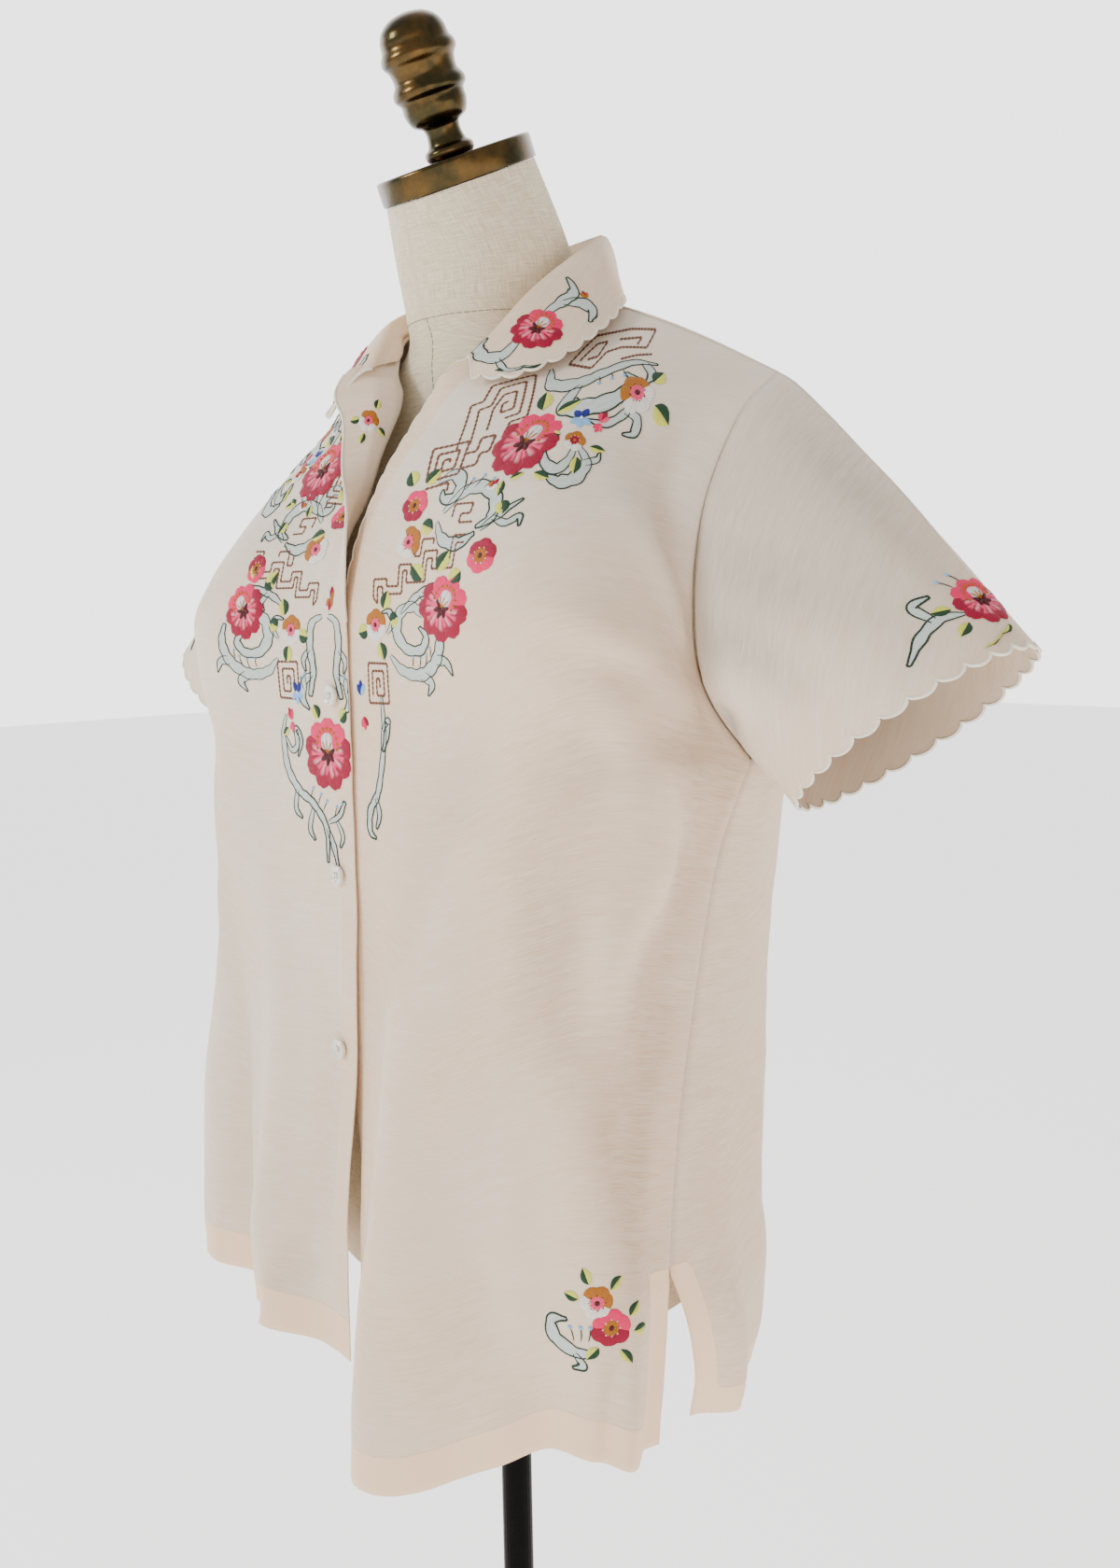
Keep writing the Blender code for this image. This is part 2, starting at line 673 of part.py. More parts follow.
def ring_edges(ring):
    inside = set(ring)
    return [e for e in {e for v in ring for e in v.link_edges} if e.other_vert(e.verts[0]) in inside and e.verts[0] in inside]


def add_torso(finish):
    bm = bmesh.new()
    axis = Vector((0.0, -math.sin(CAP_TILT), math.cos(CAP_TILT)))
    rings = []
    for s in FORM_SECTIONS:
        ring = bmesh.ops.create_circle(bm, segments=FORM_SIDES, radius=1.0)["verts"]
        tilt = Matrix.Rotation(math.radians(s.tilt), 3, "X")
        for vert in ring:
            depth = s.front if vert.co.y < 0 else s.back
            flat = tilt @ Vector((vert.co.x * s.half_width, vert.co.y * depth, 0.0))
            vert.co = flat + Vector((0.0, s.centre, s.height))
        rings.append(ring)
    ring = bmesh.ops.create_circle(bm, segments=FORM_SIDES, radius=FORM_NECK_TOP)["verts"]
    top = CAP_CENTRE - axis * (CAP_THICK / 2 + SEAM)
    bmesh.ops.rotate(bm, verts=ring, cent=(0, 0, 0), matrix=Matrix.Rotation(CAP_TILT, 3, "X"))
    bmesh.ops.translate(bm, verts=ring, vec=top)
    rings.append(ring)
    close_rings(bm, rings)
    return add_object("form_torso", bm, finish, 60)


def add_turned(name, profile, sides, finish, base, tilt):
    bm = bmesh.new()
    verts = turned(bm, profile, sides)
    bmesh.ops.rotate(bm, verts=verts, cent=(0, 0, 0), matrix=Matrix.Rotation(tilt, 3, "X"))
    bmesh.ops.translate(bm, verts=verts, vec=base)
    return add_object(name, bm, finish)


def add_neck_fittings(metal):
    axis = Vector((0.0, -math.sin(CAP_TILT), math.cos(CAP_TILT)))
    half = CAP_THICK / 2
    bead = 0.0012
    cap = [
        (CAP_RADIUS - bead, -half),
        (CAP_RADIUS, -half + bead),
        (CAP_RADIUS, half - bead),
        (CAP_RADIUS - bead, half),
    ]
    add_turned("neck_cap", cap, 48, metal, CAP_CENTRE, CAP_TILT)
    foot = CAP_CENTRE + axis * (half + SEAM)
    profile = [(t.radius, t.height) for t in FINIAL] + [(0.003, FINIAL_TOP)]
    add_turned("finial", profile, TURNED_SIDES, metal, foot, CAP_TILT)


def add_stand(black):
    edge = 0.003
    base = [
        (BASE_RADIUS, 0.0),
        (BASE_RADIUS, BASE_THICK - edge),
        (BASE_RADIUS - edge, BASE_THICK),
        (BASE_COLLAR_RADIUS, BASE_THICK + edge),
        (BASE_COLLAR_RADIUS, BASE_COLLAR_TOP - edge),
        (BASE_COLLAR_RADIUS - edge, BASE_COLLAR_TOP),
    ]
    add_turned("base", base, 64, black, (0, 0, 0), 0.0)
    pole = [
        (POLE_RADIUS, BASE_COLLAR_TOP + SEAM),
        (POLE_RADIUS, FORM_SECTIONS[0].height - SEAM),
    ]
    add_turned("pole", pole, TURNED_SIDES, black, (0, 0, 0), 0.0)


def add_buttons(pearl):
    for k in range(BUTTON_COUNT):
        height = BUTTON_TOP - BUTTON_PITCH * k
        low, high = 0.2, 0.8
        for _ in range(30):
            mid = (low + high) / 2
            low, high = (mid, high) if right_front(0.0, mid).z < height else (low, mid)
        spot = right_front(0.0, low)
        face = outward(right_front, 0.0, low, 0.01, ((-1.0, 1.0), (0.0, 1.0))) * -1
        if face.y > 0:
            face = -face
        bm = bmesh.new()
        rim = BUTTON_THICK * 0.3
        profile = [
            (BUTTON_RADIUS - rim, BUTTON_LIFT),
            (BUTTON_RADIUS, BUTTON_LIFT + rim),
            (BUTTON_RADIUS, BUTTON_LIFT + BUTTON_THICK - rim),
            (BUTTON_RADIUS - rim, BUTTON_LIFT + BUTTON_THICK),
            (BUTTON_RADIUS * 0.62, BUTTON_LIFT + BUTTON_THICK * 0.72),
        ]
        verts = turned(bm, profile, 20)
        bmesh.ops.rotate(
            bm, verts=verts, cent=(0, 0, 0), matrix=face.to_track_quat("Z", "Y").to_matrix()
        )
        bmesh.ops.translate(bm, verts=verts, vec=spot)
        add_object(f"button_{k + 1}", bm, pearl)


def main():
    for obj in list(bpy.data.objects):
        bpy.data.objects.remove(obj)
    ivory = (0.83, 0.81, 0.76)
    add_front("front_left", left_front, False, material("front_left_cloth", ivory, 0.7, 0.0))
    add_front("front_right", right_front, True, material("front_right_cloth", ivory, 0.7, 0.0))
    add_back(material("back_cloth", ivory, 0.7, 0.0))
    add_sleeve("sleeve_left", 1, material("sleeve_left_cloth", ivory, 0.7, 0.0))
    add_sleeve("sleeve_right", -1, material("sleeve_right_cloth", ivory, 0.7, 0.0))
    add_collar(material("collar_cloth", ivory, 0.7, 0.0))
    add_buttons(material("button_pearl", (0.87, 0.85, 0.78), 0.3, 0.0))
    add_torso(material("form_linen", (0.78, 0.74, 0.63), 0.85, 0.0))
    add_neck_fittings(material("neck_bronze", (0.16, 0.13, 0.06), 0.35, 0.9))
    add_stand(material("stand_black", (0.02, 0.02, 0.02), 0.4, 0.5))


main()
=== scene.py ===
import math
from functools import lru_cache

import bmesh
import bpy
import numpy as np
from mathutils import Matrix, Vector, noise


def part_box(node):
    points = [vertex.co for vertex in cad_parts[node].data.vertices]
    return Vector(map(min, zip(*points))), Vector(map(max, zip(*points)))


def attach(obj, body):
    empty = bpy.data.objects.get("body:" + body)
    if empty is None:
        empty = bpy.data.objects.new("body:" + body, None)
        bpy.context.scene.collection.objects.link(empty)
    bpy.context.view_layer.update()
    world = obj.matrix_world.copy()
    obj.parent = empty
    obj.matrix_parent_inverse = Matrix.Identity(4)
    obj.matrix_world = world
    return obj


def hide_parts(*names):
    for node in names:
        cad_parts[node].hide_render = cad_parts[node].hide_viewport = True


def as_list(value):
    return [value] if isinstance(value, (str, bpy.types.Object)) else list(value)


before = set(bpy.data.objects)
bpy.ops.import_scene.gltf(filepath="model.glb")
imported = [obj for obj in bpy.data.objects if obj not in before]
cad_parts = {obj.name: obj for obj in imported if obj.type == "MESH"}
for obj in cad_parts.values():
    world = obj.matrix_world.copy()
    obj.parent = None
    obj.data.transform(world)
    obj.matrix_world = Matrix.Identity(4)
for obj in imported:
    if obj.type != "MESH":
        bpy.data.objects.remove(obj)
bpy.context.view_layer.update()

print("frame loaded:", len(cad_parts), "nodes")

# The blouse's cut, in the same tables as the CAD panels.
# Each edge is up, x, y, z, drawn for the left side.
ventTop, armpit, collarStart, neckShare = 0.18, 0.60, 0.955, 1 / 3
frontVent = (
    (0.0, 0.183, -0.054, 0.709), (0.09, 0.186, -0.052, 0.76), (0.18, 0.188, -0.05, 0.812),
)
backVent = (
    (0.0, 0.166, -0.008, 0.699), (0.06, 0.179, -0.018, 0.735), (0.12, 0.187, -0.034, 0.775),
    (0.18, 0.188, -0.05, 0.812),
)
sideSeam = (
    (0.18, 0.188, -0.05, 0.812), (0.28, 0.19, -0.046, 0.88), (0.39, 0.193, -0.037, 0.95),
    (0.52, 0.2, -0.021, 1.045), (0.6, 0.206, 0.0, 1.097),
)
frontArmhole = (
    (0.6, 0.206, 0.0, 1.097), (0.68, 0.202, -0.033, 1.135), (0.76, 0.199, -0.04, 1.175),
    (0.86, 0.199, -0.032, 1.232), (0.94, 0.201, -0.004, 1.282), (1.0, 0.205, 0.024, 1.306),
)
backArmhole = (
    (0.6, 0.206, 0.0, 1.097), (0.68, 0.199, 0.046, 1.13), (0.76, 0.195, 0.068, 1.172),
    (0.86, 0.195, 0.073, 1.232), (0.94, 0.198, 0.056, 1.282), (1.0, 0.205, 0.024, 1.306),
)
leftCentre = (
    (0.0, -0.004, -0.129, 0.684), (0.1, -0.002, -0.126, 0.752), (0.2, 0.0, -0.122, 0.822),
    (0.3, 0.001, -0.119, 0.892), (0.42, 0.0, -0.1175, 0.975), (0.52, 0.0, -0.117, 1.045),
    (0.62, 0.0, -0.1175, 1.115), (0.71, 0.003, -0.117, 1.18), (0.77, 0.01, -0.111, 1.222),
    (0.82, 0.022, -0.102, 1.253), (0.88, 0.037, -0.086, 1.284), (0.94, 0.053, -0.06, 1.318),
    (1.0, 0.064, 0.02, 1.367),
)
rightCentre = (
    (0.0, 0.014, -0.136, 0.722), (0.1, 0.022, -0.13, 0.77), (0.2, 0.024, -0.126, 0.828),
    (0.3, 0.019, -0.122, 0.894), (0.42, 0.016, -0.12, 0.975), (0.52, 0.016, -0.1195, 1.045),
    (0.62, 0.016, -0.1195, 1.115), (0.71, 0.016, -0.117, 1.18), (0.77, 0.014, -0.105, 1.222),
    (0.82, 0.012, -0.091, 1.248), (0.88, 0.013, -0.078, 1.28), (0.94, 0.019, -0.068, 1.312),
    (0.955, 0.03, -0.062, 1.327), (0.975, 0.053, -0.03, 1.353), (1.0, 0.064, 0.02, 1.367),
)
backCentre = (
    (0.0, 0.0, 0.126, 0.69), (0.15, 0.0, 0.132, 0.79), (0.28, 0.0, 0.135, 0.87),
    (0.52, 0.0, 0.137, 1.04), (0.68, 0.0, 0.134, 1.15), (0.8, 0.0, 0.126, 1.235),
    (0.92, 0.0, 0.102, 1.325), (1.0, 0.0, 0.069, 1.374),
)
# The free edge of each front, measured from its centre line.
leftFree = (
    (0.0, -0.007, 0.01, 0.002), (0.1, -0.008, 0.01, 0.0), (0.2, -0.01, 0.008, 0.0),
    (0.3, -0.013, 0.003, 0.0), (0.42, -0.013, 0.001, 0.0), (0.66, -0.013, 0.001, 0.0),
    (0.74, -0.012, 0.004, 0.003), (0.8, -0.011, 0.009, 0.011), (0.88, -0.013, 0.012, 0.015),
    (0.93, -0.013, 0.006, 0.011), (0.955, -0.001, 0.0, 0.0028), (1.0, -0.0005, 0.0, 0.0012),
)
rightFree = (
    (0.0, -0.017, -0.002, 0.0), (0.1, -0.017, -0.002, 0.0), (0.42, -0.017, -0.001, 0.0),
    (0.66, -0.017, -0.001, 0.0), (0.71, -0.017, -0.003, 0.0), (0.77, -0.014, -0.01, 0.0),
    (0.82, -0.004, -0.017, -0.004), (0.86, 0.01, -0.017, -0.005), (0.91, 0.019, -0.016, -0.002),
    (0.94, 0.026, -0.018, 0.001), (0.951, 0.016, -0.012, 0.006), (0.958, 0.0, -0.001, 0.0028),
    (1.0, -0.0005, 0.0, 0.0012),
)
# Long folds: place, reach in, reach out, depth, full until, gone at, drift.
leftFolds = (
    (0.54, 0.44, 0.46, 0.026, 0.7, 1.0, 0.0), (0.13, 0.13, 0.26, 0.044, 0.02, 0.66, 0.02),
    (0.54, 0.2, 0.18, -0.018, 0.0, 0.5, -0.06), (0.82, 0.11, 0.11, 0.014, 0.0, 0.35, 0.02),
)
rightFolds = (
    (0.54, 0.44, 0.46, 0.026, 0.7, 1.0, 0.0), (0.16, 0.14, 0.12, 0.02, 0.0, 0.5, 0.05),
    (0.4, 0.12, 0.12, -0.02, 0.0, 0.5, 0.02), (0.64, 0.18, 0.18, 0.01, 0.05, 0.6, 0.0),
)
backFolds = (
    (0.36, 0.14, 0.14, -0.012, 0.02, 0.62, 0.03), (0.62, 0.14, 0.16, 0.008, 0.1, 0.6, 0.0),
    (0.87, 0.12, 0.12, 0.012, 0.0, 0.26, 0.0), (-0.38, 0.14, 0.14, -0.012, 0.02, 0.62, -0.03),
    (-0.62, 0.16, 0.14, 0.008, 0.1, 0.6, 0.0), (-0.87, 0.12, 0.12, 0.012, 0.0, 0.26, 0.0),
    (0.0, 0.18, 0.18, 0.008, 0.02, 0.6, 0.0),
)
# Waves of the hem: across, then left, right and back.
hemWaves = (
    (0.0, 0.0, 0.0, 0.0), (0.14, -0.01, 0.004, 0.0), (0.26, -0.006, 0.004, 0.0),
    (0.42, 0.01, 0.014, 0.0), (0.6, 0.022, 0.018, 0.0), (0.84, 0.01, 0.012, -0.008),
    (1.0, 0.0, 0.0, 0.0),
)
# The collar: along, the fold's x, y, z and the edge's x, y, z.
collarLeft = (
    (0.0, 0.0, 0.072, 1.417, 0.0, 0.103, 1.36), (0.25, 0.035, 0.063, 1.415, 0.042, 0.073, 1.37),
    (0.48, 0.06, 0.032, 1.402, 0.093, 0.023, 1.362),
    (0.62, 0.066, 0.006, 1.388, 0.107, -0.004, 1.345),
    (0.8, 0.065, -0.03, 1.362, 0.106, -0.04, 1.322),
    (0.92, 0.058, -0.052, 1.338, 0.088, -0.064, 1.31),
    (1.0, 0.051, -0.064, 1.324, 0.063, -0.072, 1.312),
)
collarRight = (
    (0.0, 0.0, 0.072, 1.417, 0.0, 0.103, 1.36), (0.25, 0.035, 0.063, 1.413, 0.042, 0.073, 1.37),
    (0.48, 0.061, 0.032, 1.394, 0.093, 0.023, 1.364),
    (0.62, 0.067, 0.002, 1.38, 0.105, -0.004, 1.349),
    (0.78, 0.06, -0.03, 1.366, 0.104, -0.038, 1.326),
    (0.9, 0.043, -0.053, 1.348, 0.086, -0.066, 1.309),
    (1.0, 0.0275, -0.0735, 1.3275, 0.048, -0.0915, 1.3),
)
drape = {"hemReach": 0.35, "frontFlat": 0.60, "backFlat": 0.62, "frontFull": 0.84, "backFull": 0.90,
         "shoulderBow": 0.06, "shoulderRise": 0.004, "lapelRoll": 0.0045, "lapelPress": 0.0085}
sleeve = {"hemCentre": (0.303, 0.004, 1.117), "hemDown": (0.061, 0, 0.044), "hemAside": (0, 0.050, 0),
          "crown": 0.006, "puff": 0.008}
collar = {"fold": 0.4, "fromNeck": 0.0013, "overSeam": 0.0006, "press": 0.0075, "rollOut": 0.004,
          "rollUp": 0.002}


def ease(t):
    t = min(max(t, 0.0), 1.0)
    return t * t * (3 - 2 * t)


@lru_cache(maxsize=None)
def readTable(rows, share):  # smooth values of a table's columns
    keys = [row[0] for row in rows]
    share = min(max(share, keys[0]), keys[-1])
    i = min(max(k for k in range(len(rows)) if keys[k] <= share), len(rows) - 2)
    span = keys[i + 1] - keys[i]
    t = (share - keys[i]) / span
    e = t * t * (3 - 2 * t)
    found = []
    for c in range(1, len(rows[0])):
        slopes = []
        for j in (i, i + 1):
            a, b = max(j - 1, 0), min(j + 1, len(rows) - 1)
            slopes.append((rows[b][c] - rows[a][c]) / (keys[b] - keys[a]) * span)
        found.append(rows[i][c] * (1 - e) + rows[i + 1][c] * e
                     + slopes[0] * t * (1 - t) ** 2 - slopes[1] * t * t * (1 - t))
    return tuple(found)


def mirrored(p, side=-1):
    return Vector((math.copysign(1.0, side) * p.x, p.y, p.z))


def sideEdge(up, isFront):
    vent, armhole = (frontVent, frontArmhole) if isFront else (backVent, backArmhole)
    rows = vent if up < ventTop else sideSeam if up <= armpit else armhole
    return Vector(readTable(rows, up))


def foldHeight(folds, across, up):
    total = 0.0
    for place, inner, outer, depth, full, gone, drift in folds:
        away = across - place - drift * up
        reach = inner if away < 0 else outer
        if abs(away) < reach:
            hump = 0.5 + 0.5 * math.cos(math.pi * away / reach)
            total += depth * hump * (1 - ease((up - full) / (gone - full)))
    return total


def bodyRow(across, centre, side, flat, full):
    turn = across * math.pi / 2
    out = (1 - flat) * math.sin(turn) ** full + flat * across
    back = (1 - flat) * (1 - max(math.cos(turn), 0.0) ** full) + flat * across
    return Vector((centre.x + (side.x - centre.x) * out, centre.y + (side.y - centre.y) * back,
                   centre.z + (side.z - centre.z) * across))


def hemWave(across, which, up):
    return readTable(hemWaves, across)[which] * (1 - ease(up / drape["hemReach"]))


def frontPoint(across, up, centreRows, freeRows, folds, hem, roll):
    centre, side = Vector(readTable(centreRows, up)), sideEdge(up, True)
    flat, a = ease((up - drape["frontFlat"]) / (1 - drape["frontFlat"])), max(across, 0.0)
    p = bodyRow(a, centre, side, flat, drape["frontFull"])
    turn = a * math.pi / 2
    lean = Vector((0.8 * math.sin(turn), -math.cos(turn * 0.9), 0.3 * flat)).normalized()
    bow = math.sin(math.pi * a)
    p.z += drape["shoulderRise"] * flat * bow + hemWave(a, hem, up)
    p += lean * (foldHeight(folds, a, up) + drape["shoulderBow"] * flat * (1 - flat) * bow)
    if across < 0:  # the lapel, turned back past the centre line
        rise = roll * ease((up - 0.70) / 0.08) * ease((0.96 - up) / 0.03)
        p += Vector(readTable(freeRows, up)) * -across
        p += Vector((-0.2, -0.8, 0.5)) * rise * math.sin(min(-across / 0.28, 1.0) * math.pi / 2)
    return p


def leftFront(across, up):
    return frontPoint(across, up, leftCentre, leftFree, leftFolds, 0, 0.0)


def rightFront(across, up):
    p = frontPoint(across, up, rightCentre, rightFree, rightFolds, 1, drape["lapelRoll"])
    near = ease((up - 0.86) / 0.08) * ease((1.0 - up) / 0.05) * ease((0.14 - abs(across)) / 0.14)
    return mirrored(p + Vector((-0.4, 0.9, 0.0)) * drape["lapelPress"] * near)


def backTop(a):  # half the neckline, then the shoulder seam
    neck, tip = leftFront(-1.0, 1.0), sideEdge(1.0, False)
    middle = Vector(readTable(backCentre, 1.0))
    if a < neckShare:
        turn = a / neckShare * math.pi / 2
        drop = (middle - neck) * math.cos(turn)
        return Vector((neck.x * math.sin(turn), neck.y + drop.y, neck.z + drop.z))
    share = (a - neckShare) / (1 - neckShare)
    return neck.lerp(tip, share) + Vector((0, 0, drape["shoulderRise"] * math.sin(math.pi * share)))


def backPanel(across, up):
    a, side, centre = abs(across), sideEdge(up, False), Vector(readTable(backCentre, up))
    flat = ease((up - drape["backFlat"]) / (1 - drape["backFlat"]))
    p = bodyRow(a, centre, side, flat, drape["backFull"])
    p.z += hemWave(a, 2, up)
    straight = Vector(readTable(backCentre, 1.0)).lerp(sideEdge(1.0, False), a)
    p += (backTop(a) - straight) * max((up - 0.80) / 0.20, 0.0) ** 1.5
    turn = a * math.pi / 2
    lean = Vector((0.8 * math.sin(turn), math.cos(turn * 0.9), 0.2 * flat)).normalized()
    p += lean * foldHeight(backFolds, across, up)
    return Vector((math.copysign(p.x, across), p.y, p.z))


def leftSleeve(turn, out):  # turn is 0 at the armpit, 0.25 in front and 0.5 at the top
    t = turn % 1.0
    start = sideEdge(armpit + (1 - armpit) * 2 * min(t, 1 - t), t <= 0.5)
    angle = 2 * math.pi * t
    hem = Vector(sleeve["hemCentre"]) - Vector(sleeve["hemDown"]) * math.cos(angle)
    p = start.lerp(hem - Vector(sleeve["hemAside"]) * math.sin(angle), out)
    swell = math.sin(math.pi * out ** 0.75)
    p += Vector((0.45, 0.0, 0.9)) * sleeve["crown"] * swell * (0.5 - 0.5 * math.cos(angle)) ** 2
    puff = sleeve["puff"] * swell * abs(math.sin(angle))
    return p + Vector((0.0, -math.sin(angle), -0.3)) * puff


def rightSleeve(turn, out):
    return mirrored(leftSleeve(turn, out))


def neckSeam(along):
    share = abs(along)
    if share < 0.5:
        p = backTop(neckShare * share * 2)
        return Vector((math.copysign(p.x, along), p.y, p.z))
    up = 1 - (1 - collarStart) * (share - 0.5) * 2
    return leftFront(-1.0, up) if along > 0 else rightFront(-1.0, up)


def collarPoint(along, over):  # over is 0 at the seam, 0.4 at the fold and 1 at the free edge
    v = readTable(collarLeft if along > 0 else collarRight, abs(along))
    fold, edge = mirrored(Vector(v[:3]), along), mirrored(Vector(v[3:]), along)
    seam = neckSeam(along)
    snug = collar["press"] * ease((-along - 0.78) / 0.16)  # the right end is pressed to the neck
    inward = Vector((-seam.x, -seam.y, 0)).normalized() * (collar["fromNeck"] + snug)
    seam += inward + Vector((0, 0, collar["overSeam"]))
    if over < collar["fold"]:
        return seam.lerp(fold, over / collar["fold"])
    t = (over - collar["fold"]) / (1 - collar["fold"])
    away = Vector((edge.x - fold.x, edge.y - fold.y, 0)).normalized() * collar["rollOut"]
    roll = (away + Vector((0, 0, collar["rollUp"]))) * math.sin(math.pi * t ** 0.6)
    return fold.lerp(edge, t) + roll


# Helpers for looks and objects.
def newMaterial(name, colour, roughness, metallic=0.0, **sockets):
    look = bpy.data.materials.new(name)
    look.use_nodes = True
    shader = look.node_tree.nodes["Principled BSDF"]
    sockets.update(Base_Color=(*colour, 1), Roughness=roughness, Metallic=metallic)
    for key, value in sockets.items():
        shader.inputs[key.replace("_", " ")].default_value = value
    return look, look.node_tree, shader.inputs


def addNode(tree, kind, links=(), **settings):
    node = tree.nodes.new("ShaderNode" + kind)
    for key, value in settings.items():
        setattr(node, key, value)
    for socket, source in links:
        if hasattr(source, "is_linked"):
            tree.links.new(source, node.inputs[socket])
        else:
            node.inputs[socket].default_value = source
    return node


def mathNode(tree, operation, a, b=0.0):
    return addNode(tree, "Math", ((0, a), (1, b)), operation=operation).outputs[0]


def mixColour(tree, factor, a, b):
    a, b = (c if hasattr(c, "is_linked") else (*c, 1) for c in (a, b))
    return addNode(tree, "Mix", ((0, factor), (6, a), (7, b)), data_type="RGBA").outputs[2]


def speckle(tree, at, scale, detail, rough=0.5):
    links = (("Vector", at), ("Scale", scale), ("Detail", detail), ("Roughness", rough))
    return addNode(tree, "TexNoise", links).outputs[0]


def spread(tree, value, low=0.0, high=1.0, least=0.0, most=1.0, **settings):
    links = (("Value", value), ("From Min", low), ("From Max", high), ("To Min", least),
             ("To Max", most))
    return addNode(tree, "MapRange", links, **settings).outputs[0]


def stretch(tree, at, scales):
    return addNode(tree, "VectorMath", ((0, at), (1, scales)), operation="MULTIPLY").outputs[0]


def painted(tree, name, kind="Fac"):
    return addNode(tree, "Attribute", attribute_name=name).outputs[kind]


def objectPlace(tree):
    return addNode(tree, "TexCoord").outputs["Object"]


def raised(tree, inputs, height, strength, distance):
    links = (("Height", height), ("Strength", strength), ("Distance", distance))
    tree.links.new(addNode(tree, "Bump", links).outputs[0], inputs["Normal"])


def meshFrom(name, bm):
    mesh = bpy.data.meshes.new(name)
    bm.to_mesh(mesh)
    bm.free()
    return mesh


def addObject(name, data):
    obj = bpy.data.objects.new(name, data)
    bpy.context.collection.objects.link(obj)
    return obj


def takeMesh(*objects):  # what the first object has come to, with all of them then removed
    done = objects[0].evaluated_get(bpy.context.evaluated_depsgraph_get())
    mesh = bpy.data.meshes.new_from_object(done)
    for obj in objects:
        bpy.data.objects.remove(obj)
    bm = bmesh.new()
    bm.from_mesh(mesh)
    bpy.data.meshes.remove(mesh)
    return bm


def finishPiece(name, bm, material, nodes, sharp=35):
    mesh = meshFrom(name, bm)
    mesh.shade_smooth()
    mesh.set_sharp_from_angle(angle=math.radians(sharp))
    mesh.materials.append(material)
    obj = addObject(name, mesh)
    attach(obj, "root")
    if nodes:
        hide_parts(*nodes)
    return obj


# The cloth's look.
# The warm colour is the warm form showing through the sheer cloth and also painted warm shade.
cloth = {"colour": (0.75, 0.745, 0.68), "warmColour": (0.80, 0.50, 0.27),
         "slubColour": (0.90, 0.84, 0.75), "turnColour": (0.97, 0.68, 0.44),
         # The fold colours are painted shade in creases and on cloth turned away from the light.
         "foldColour": (0.52, 0.35, 0.22), "foldGrey": (0.40, 0.365, 0.30),
         "slubLength": 0.013, "slubWidth": 0.0009, "slubShare": 0.36, "foldShare": 0.7,
         "thickness": 0.0007, "hemDepth": 0.024, "ventDepth": 0.018}


def makeSlubWeave():  # long thick threads and a fine plain weave, in metres of cloth
    group = bpy.data.node_groups.new("slubWeave", "ShaderNodeTree")
    for label, way, kind in (("Cloth", "INPUT", "Vector"), ("Slub Length", "INPUT", "Float"),
                             ("Slub Width", "INPUT", "Float"), ("Slub", "OUTPUT", "Float"),
                             ("Height", "OUTPUT", "Float")):
        group.interface.new_socket(label, in_out=way, socket_type="NodeSocket" + kind)
    given, made = (group.nodes.new("NodeGroup" + end) for end in ("Input", "Output"))
    parts = addNode(group, "SeparateXYZ", ((0, given.outputs[0]),)).outputs
    threads = [(k, mathNode(group, "DIVIDE", parts[k], given.outputs[k + 1])) for k in (0, 1)]
    run = addNode(group, "CombineXYZ", threads).outputs[0]
    fine = mathNode(group, "MULTIPLY", speckle(group, run, 1.0, 3.0, 0.65), 0.74)
    thick = speckle(group, stretch(group, run, (0.35, 0.22, 1.0)), 1.0, 1.0)
    both = mathNode(group, "ADD", fine, mathNode(group, "MULTIPLY", thick, 0.26))
    group.links.new(spread(group, both, 0.38, 0.66), made.inputs[0])
    group.links.new(both, made.inputs[1])


def clothMaterial(node):
    look, tree, inputs = newMaterial(f"{node}_ivory", cloth["colour"], 0.8, Sheen_Weight=0.06,
                                     Sheen_Roughness=0.4, Specular_IOR_Level=0.3)
    cut = addNode(tree, "UVMap", uv_map="cut").outputs[0]
    sizes = ((0, cut), (1, cloth["slubLength"]), (2, cloth["slubWidth"]))
    slub, height = addNode(tree, "Group", sizes, node_tree=bpy.data.node_groups["slubWeave"]).outputs
    band = spread(tree, painted(tree, "turned"), 1.03, 0.97)
    patches = spread(tree, speckle(tree, cut, 9.0, 2.0), 0.3, 0.7, 0.7, 1.0)
    # Painted shade: how much of the fold shade colour is mixed in.
    hollow = spread(tree, painted(tree, "hollow"), most=cloth["foldShare"])
    colour = cloth["colour"]
    # The first mix is the warm form seen through the sheer cloth plus painted shade.
    for factor, shade in (
        (mathNode(tree, "MULTIPLY", painted(tree, "sheer"), patches), "warmColour"),
        (hollow, "foldGrey" if "sleeve" in node else "foldColour"),
        (mathNode(tree, "MULTIPLY", slub, cloth["slubShare"]), "slubColour"),
        (mathNode(tree, "MULTIPLY", band, 0.8), "turnColour"),
    ):
        colour = mixColour(tree, factor, colour, cloth[shade])
    tree.links.new(colour, inputs["Base Color"])
    ridges = mathNode(tree, "ADD", height, mathNode(tree, "MULTIPLY", band, 1.2))
    raised(tree, inputs, ridges, 0.5, 0.0006)
    return look


makeSlubWeave()


# The cloth panels.
def stops(first, *runs):  # values from the first, in runs of (end, count)
    values = [first]
    for end, count in runs:
        start = values[-1]
        values += [start + (end - start) * (k + 1) / count for k in range(count)]
    return np.array(values)


# darkAt is the crease depth at which the painted fold shade is full.
crease = {"bow": 0.06, "widen": 1.35, "deepen": 1.6, "darkAt": 0.006}
stitchLine = {"pucker": 0.0005, "pitch": 0.013, "reach": 0.007, "calm": 0.010, "groove": 0.0004,
              "grooveWidth": 0.0012}


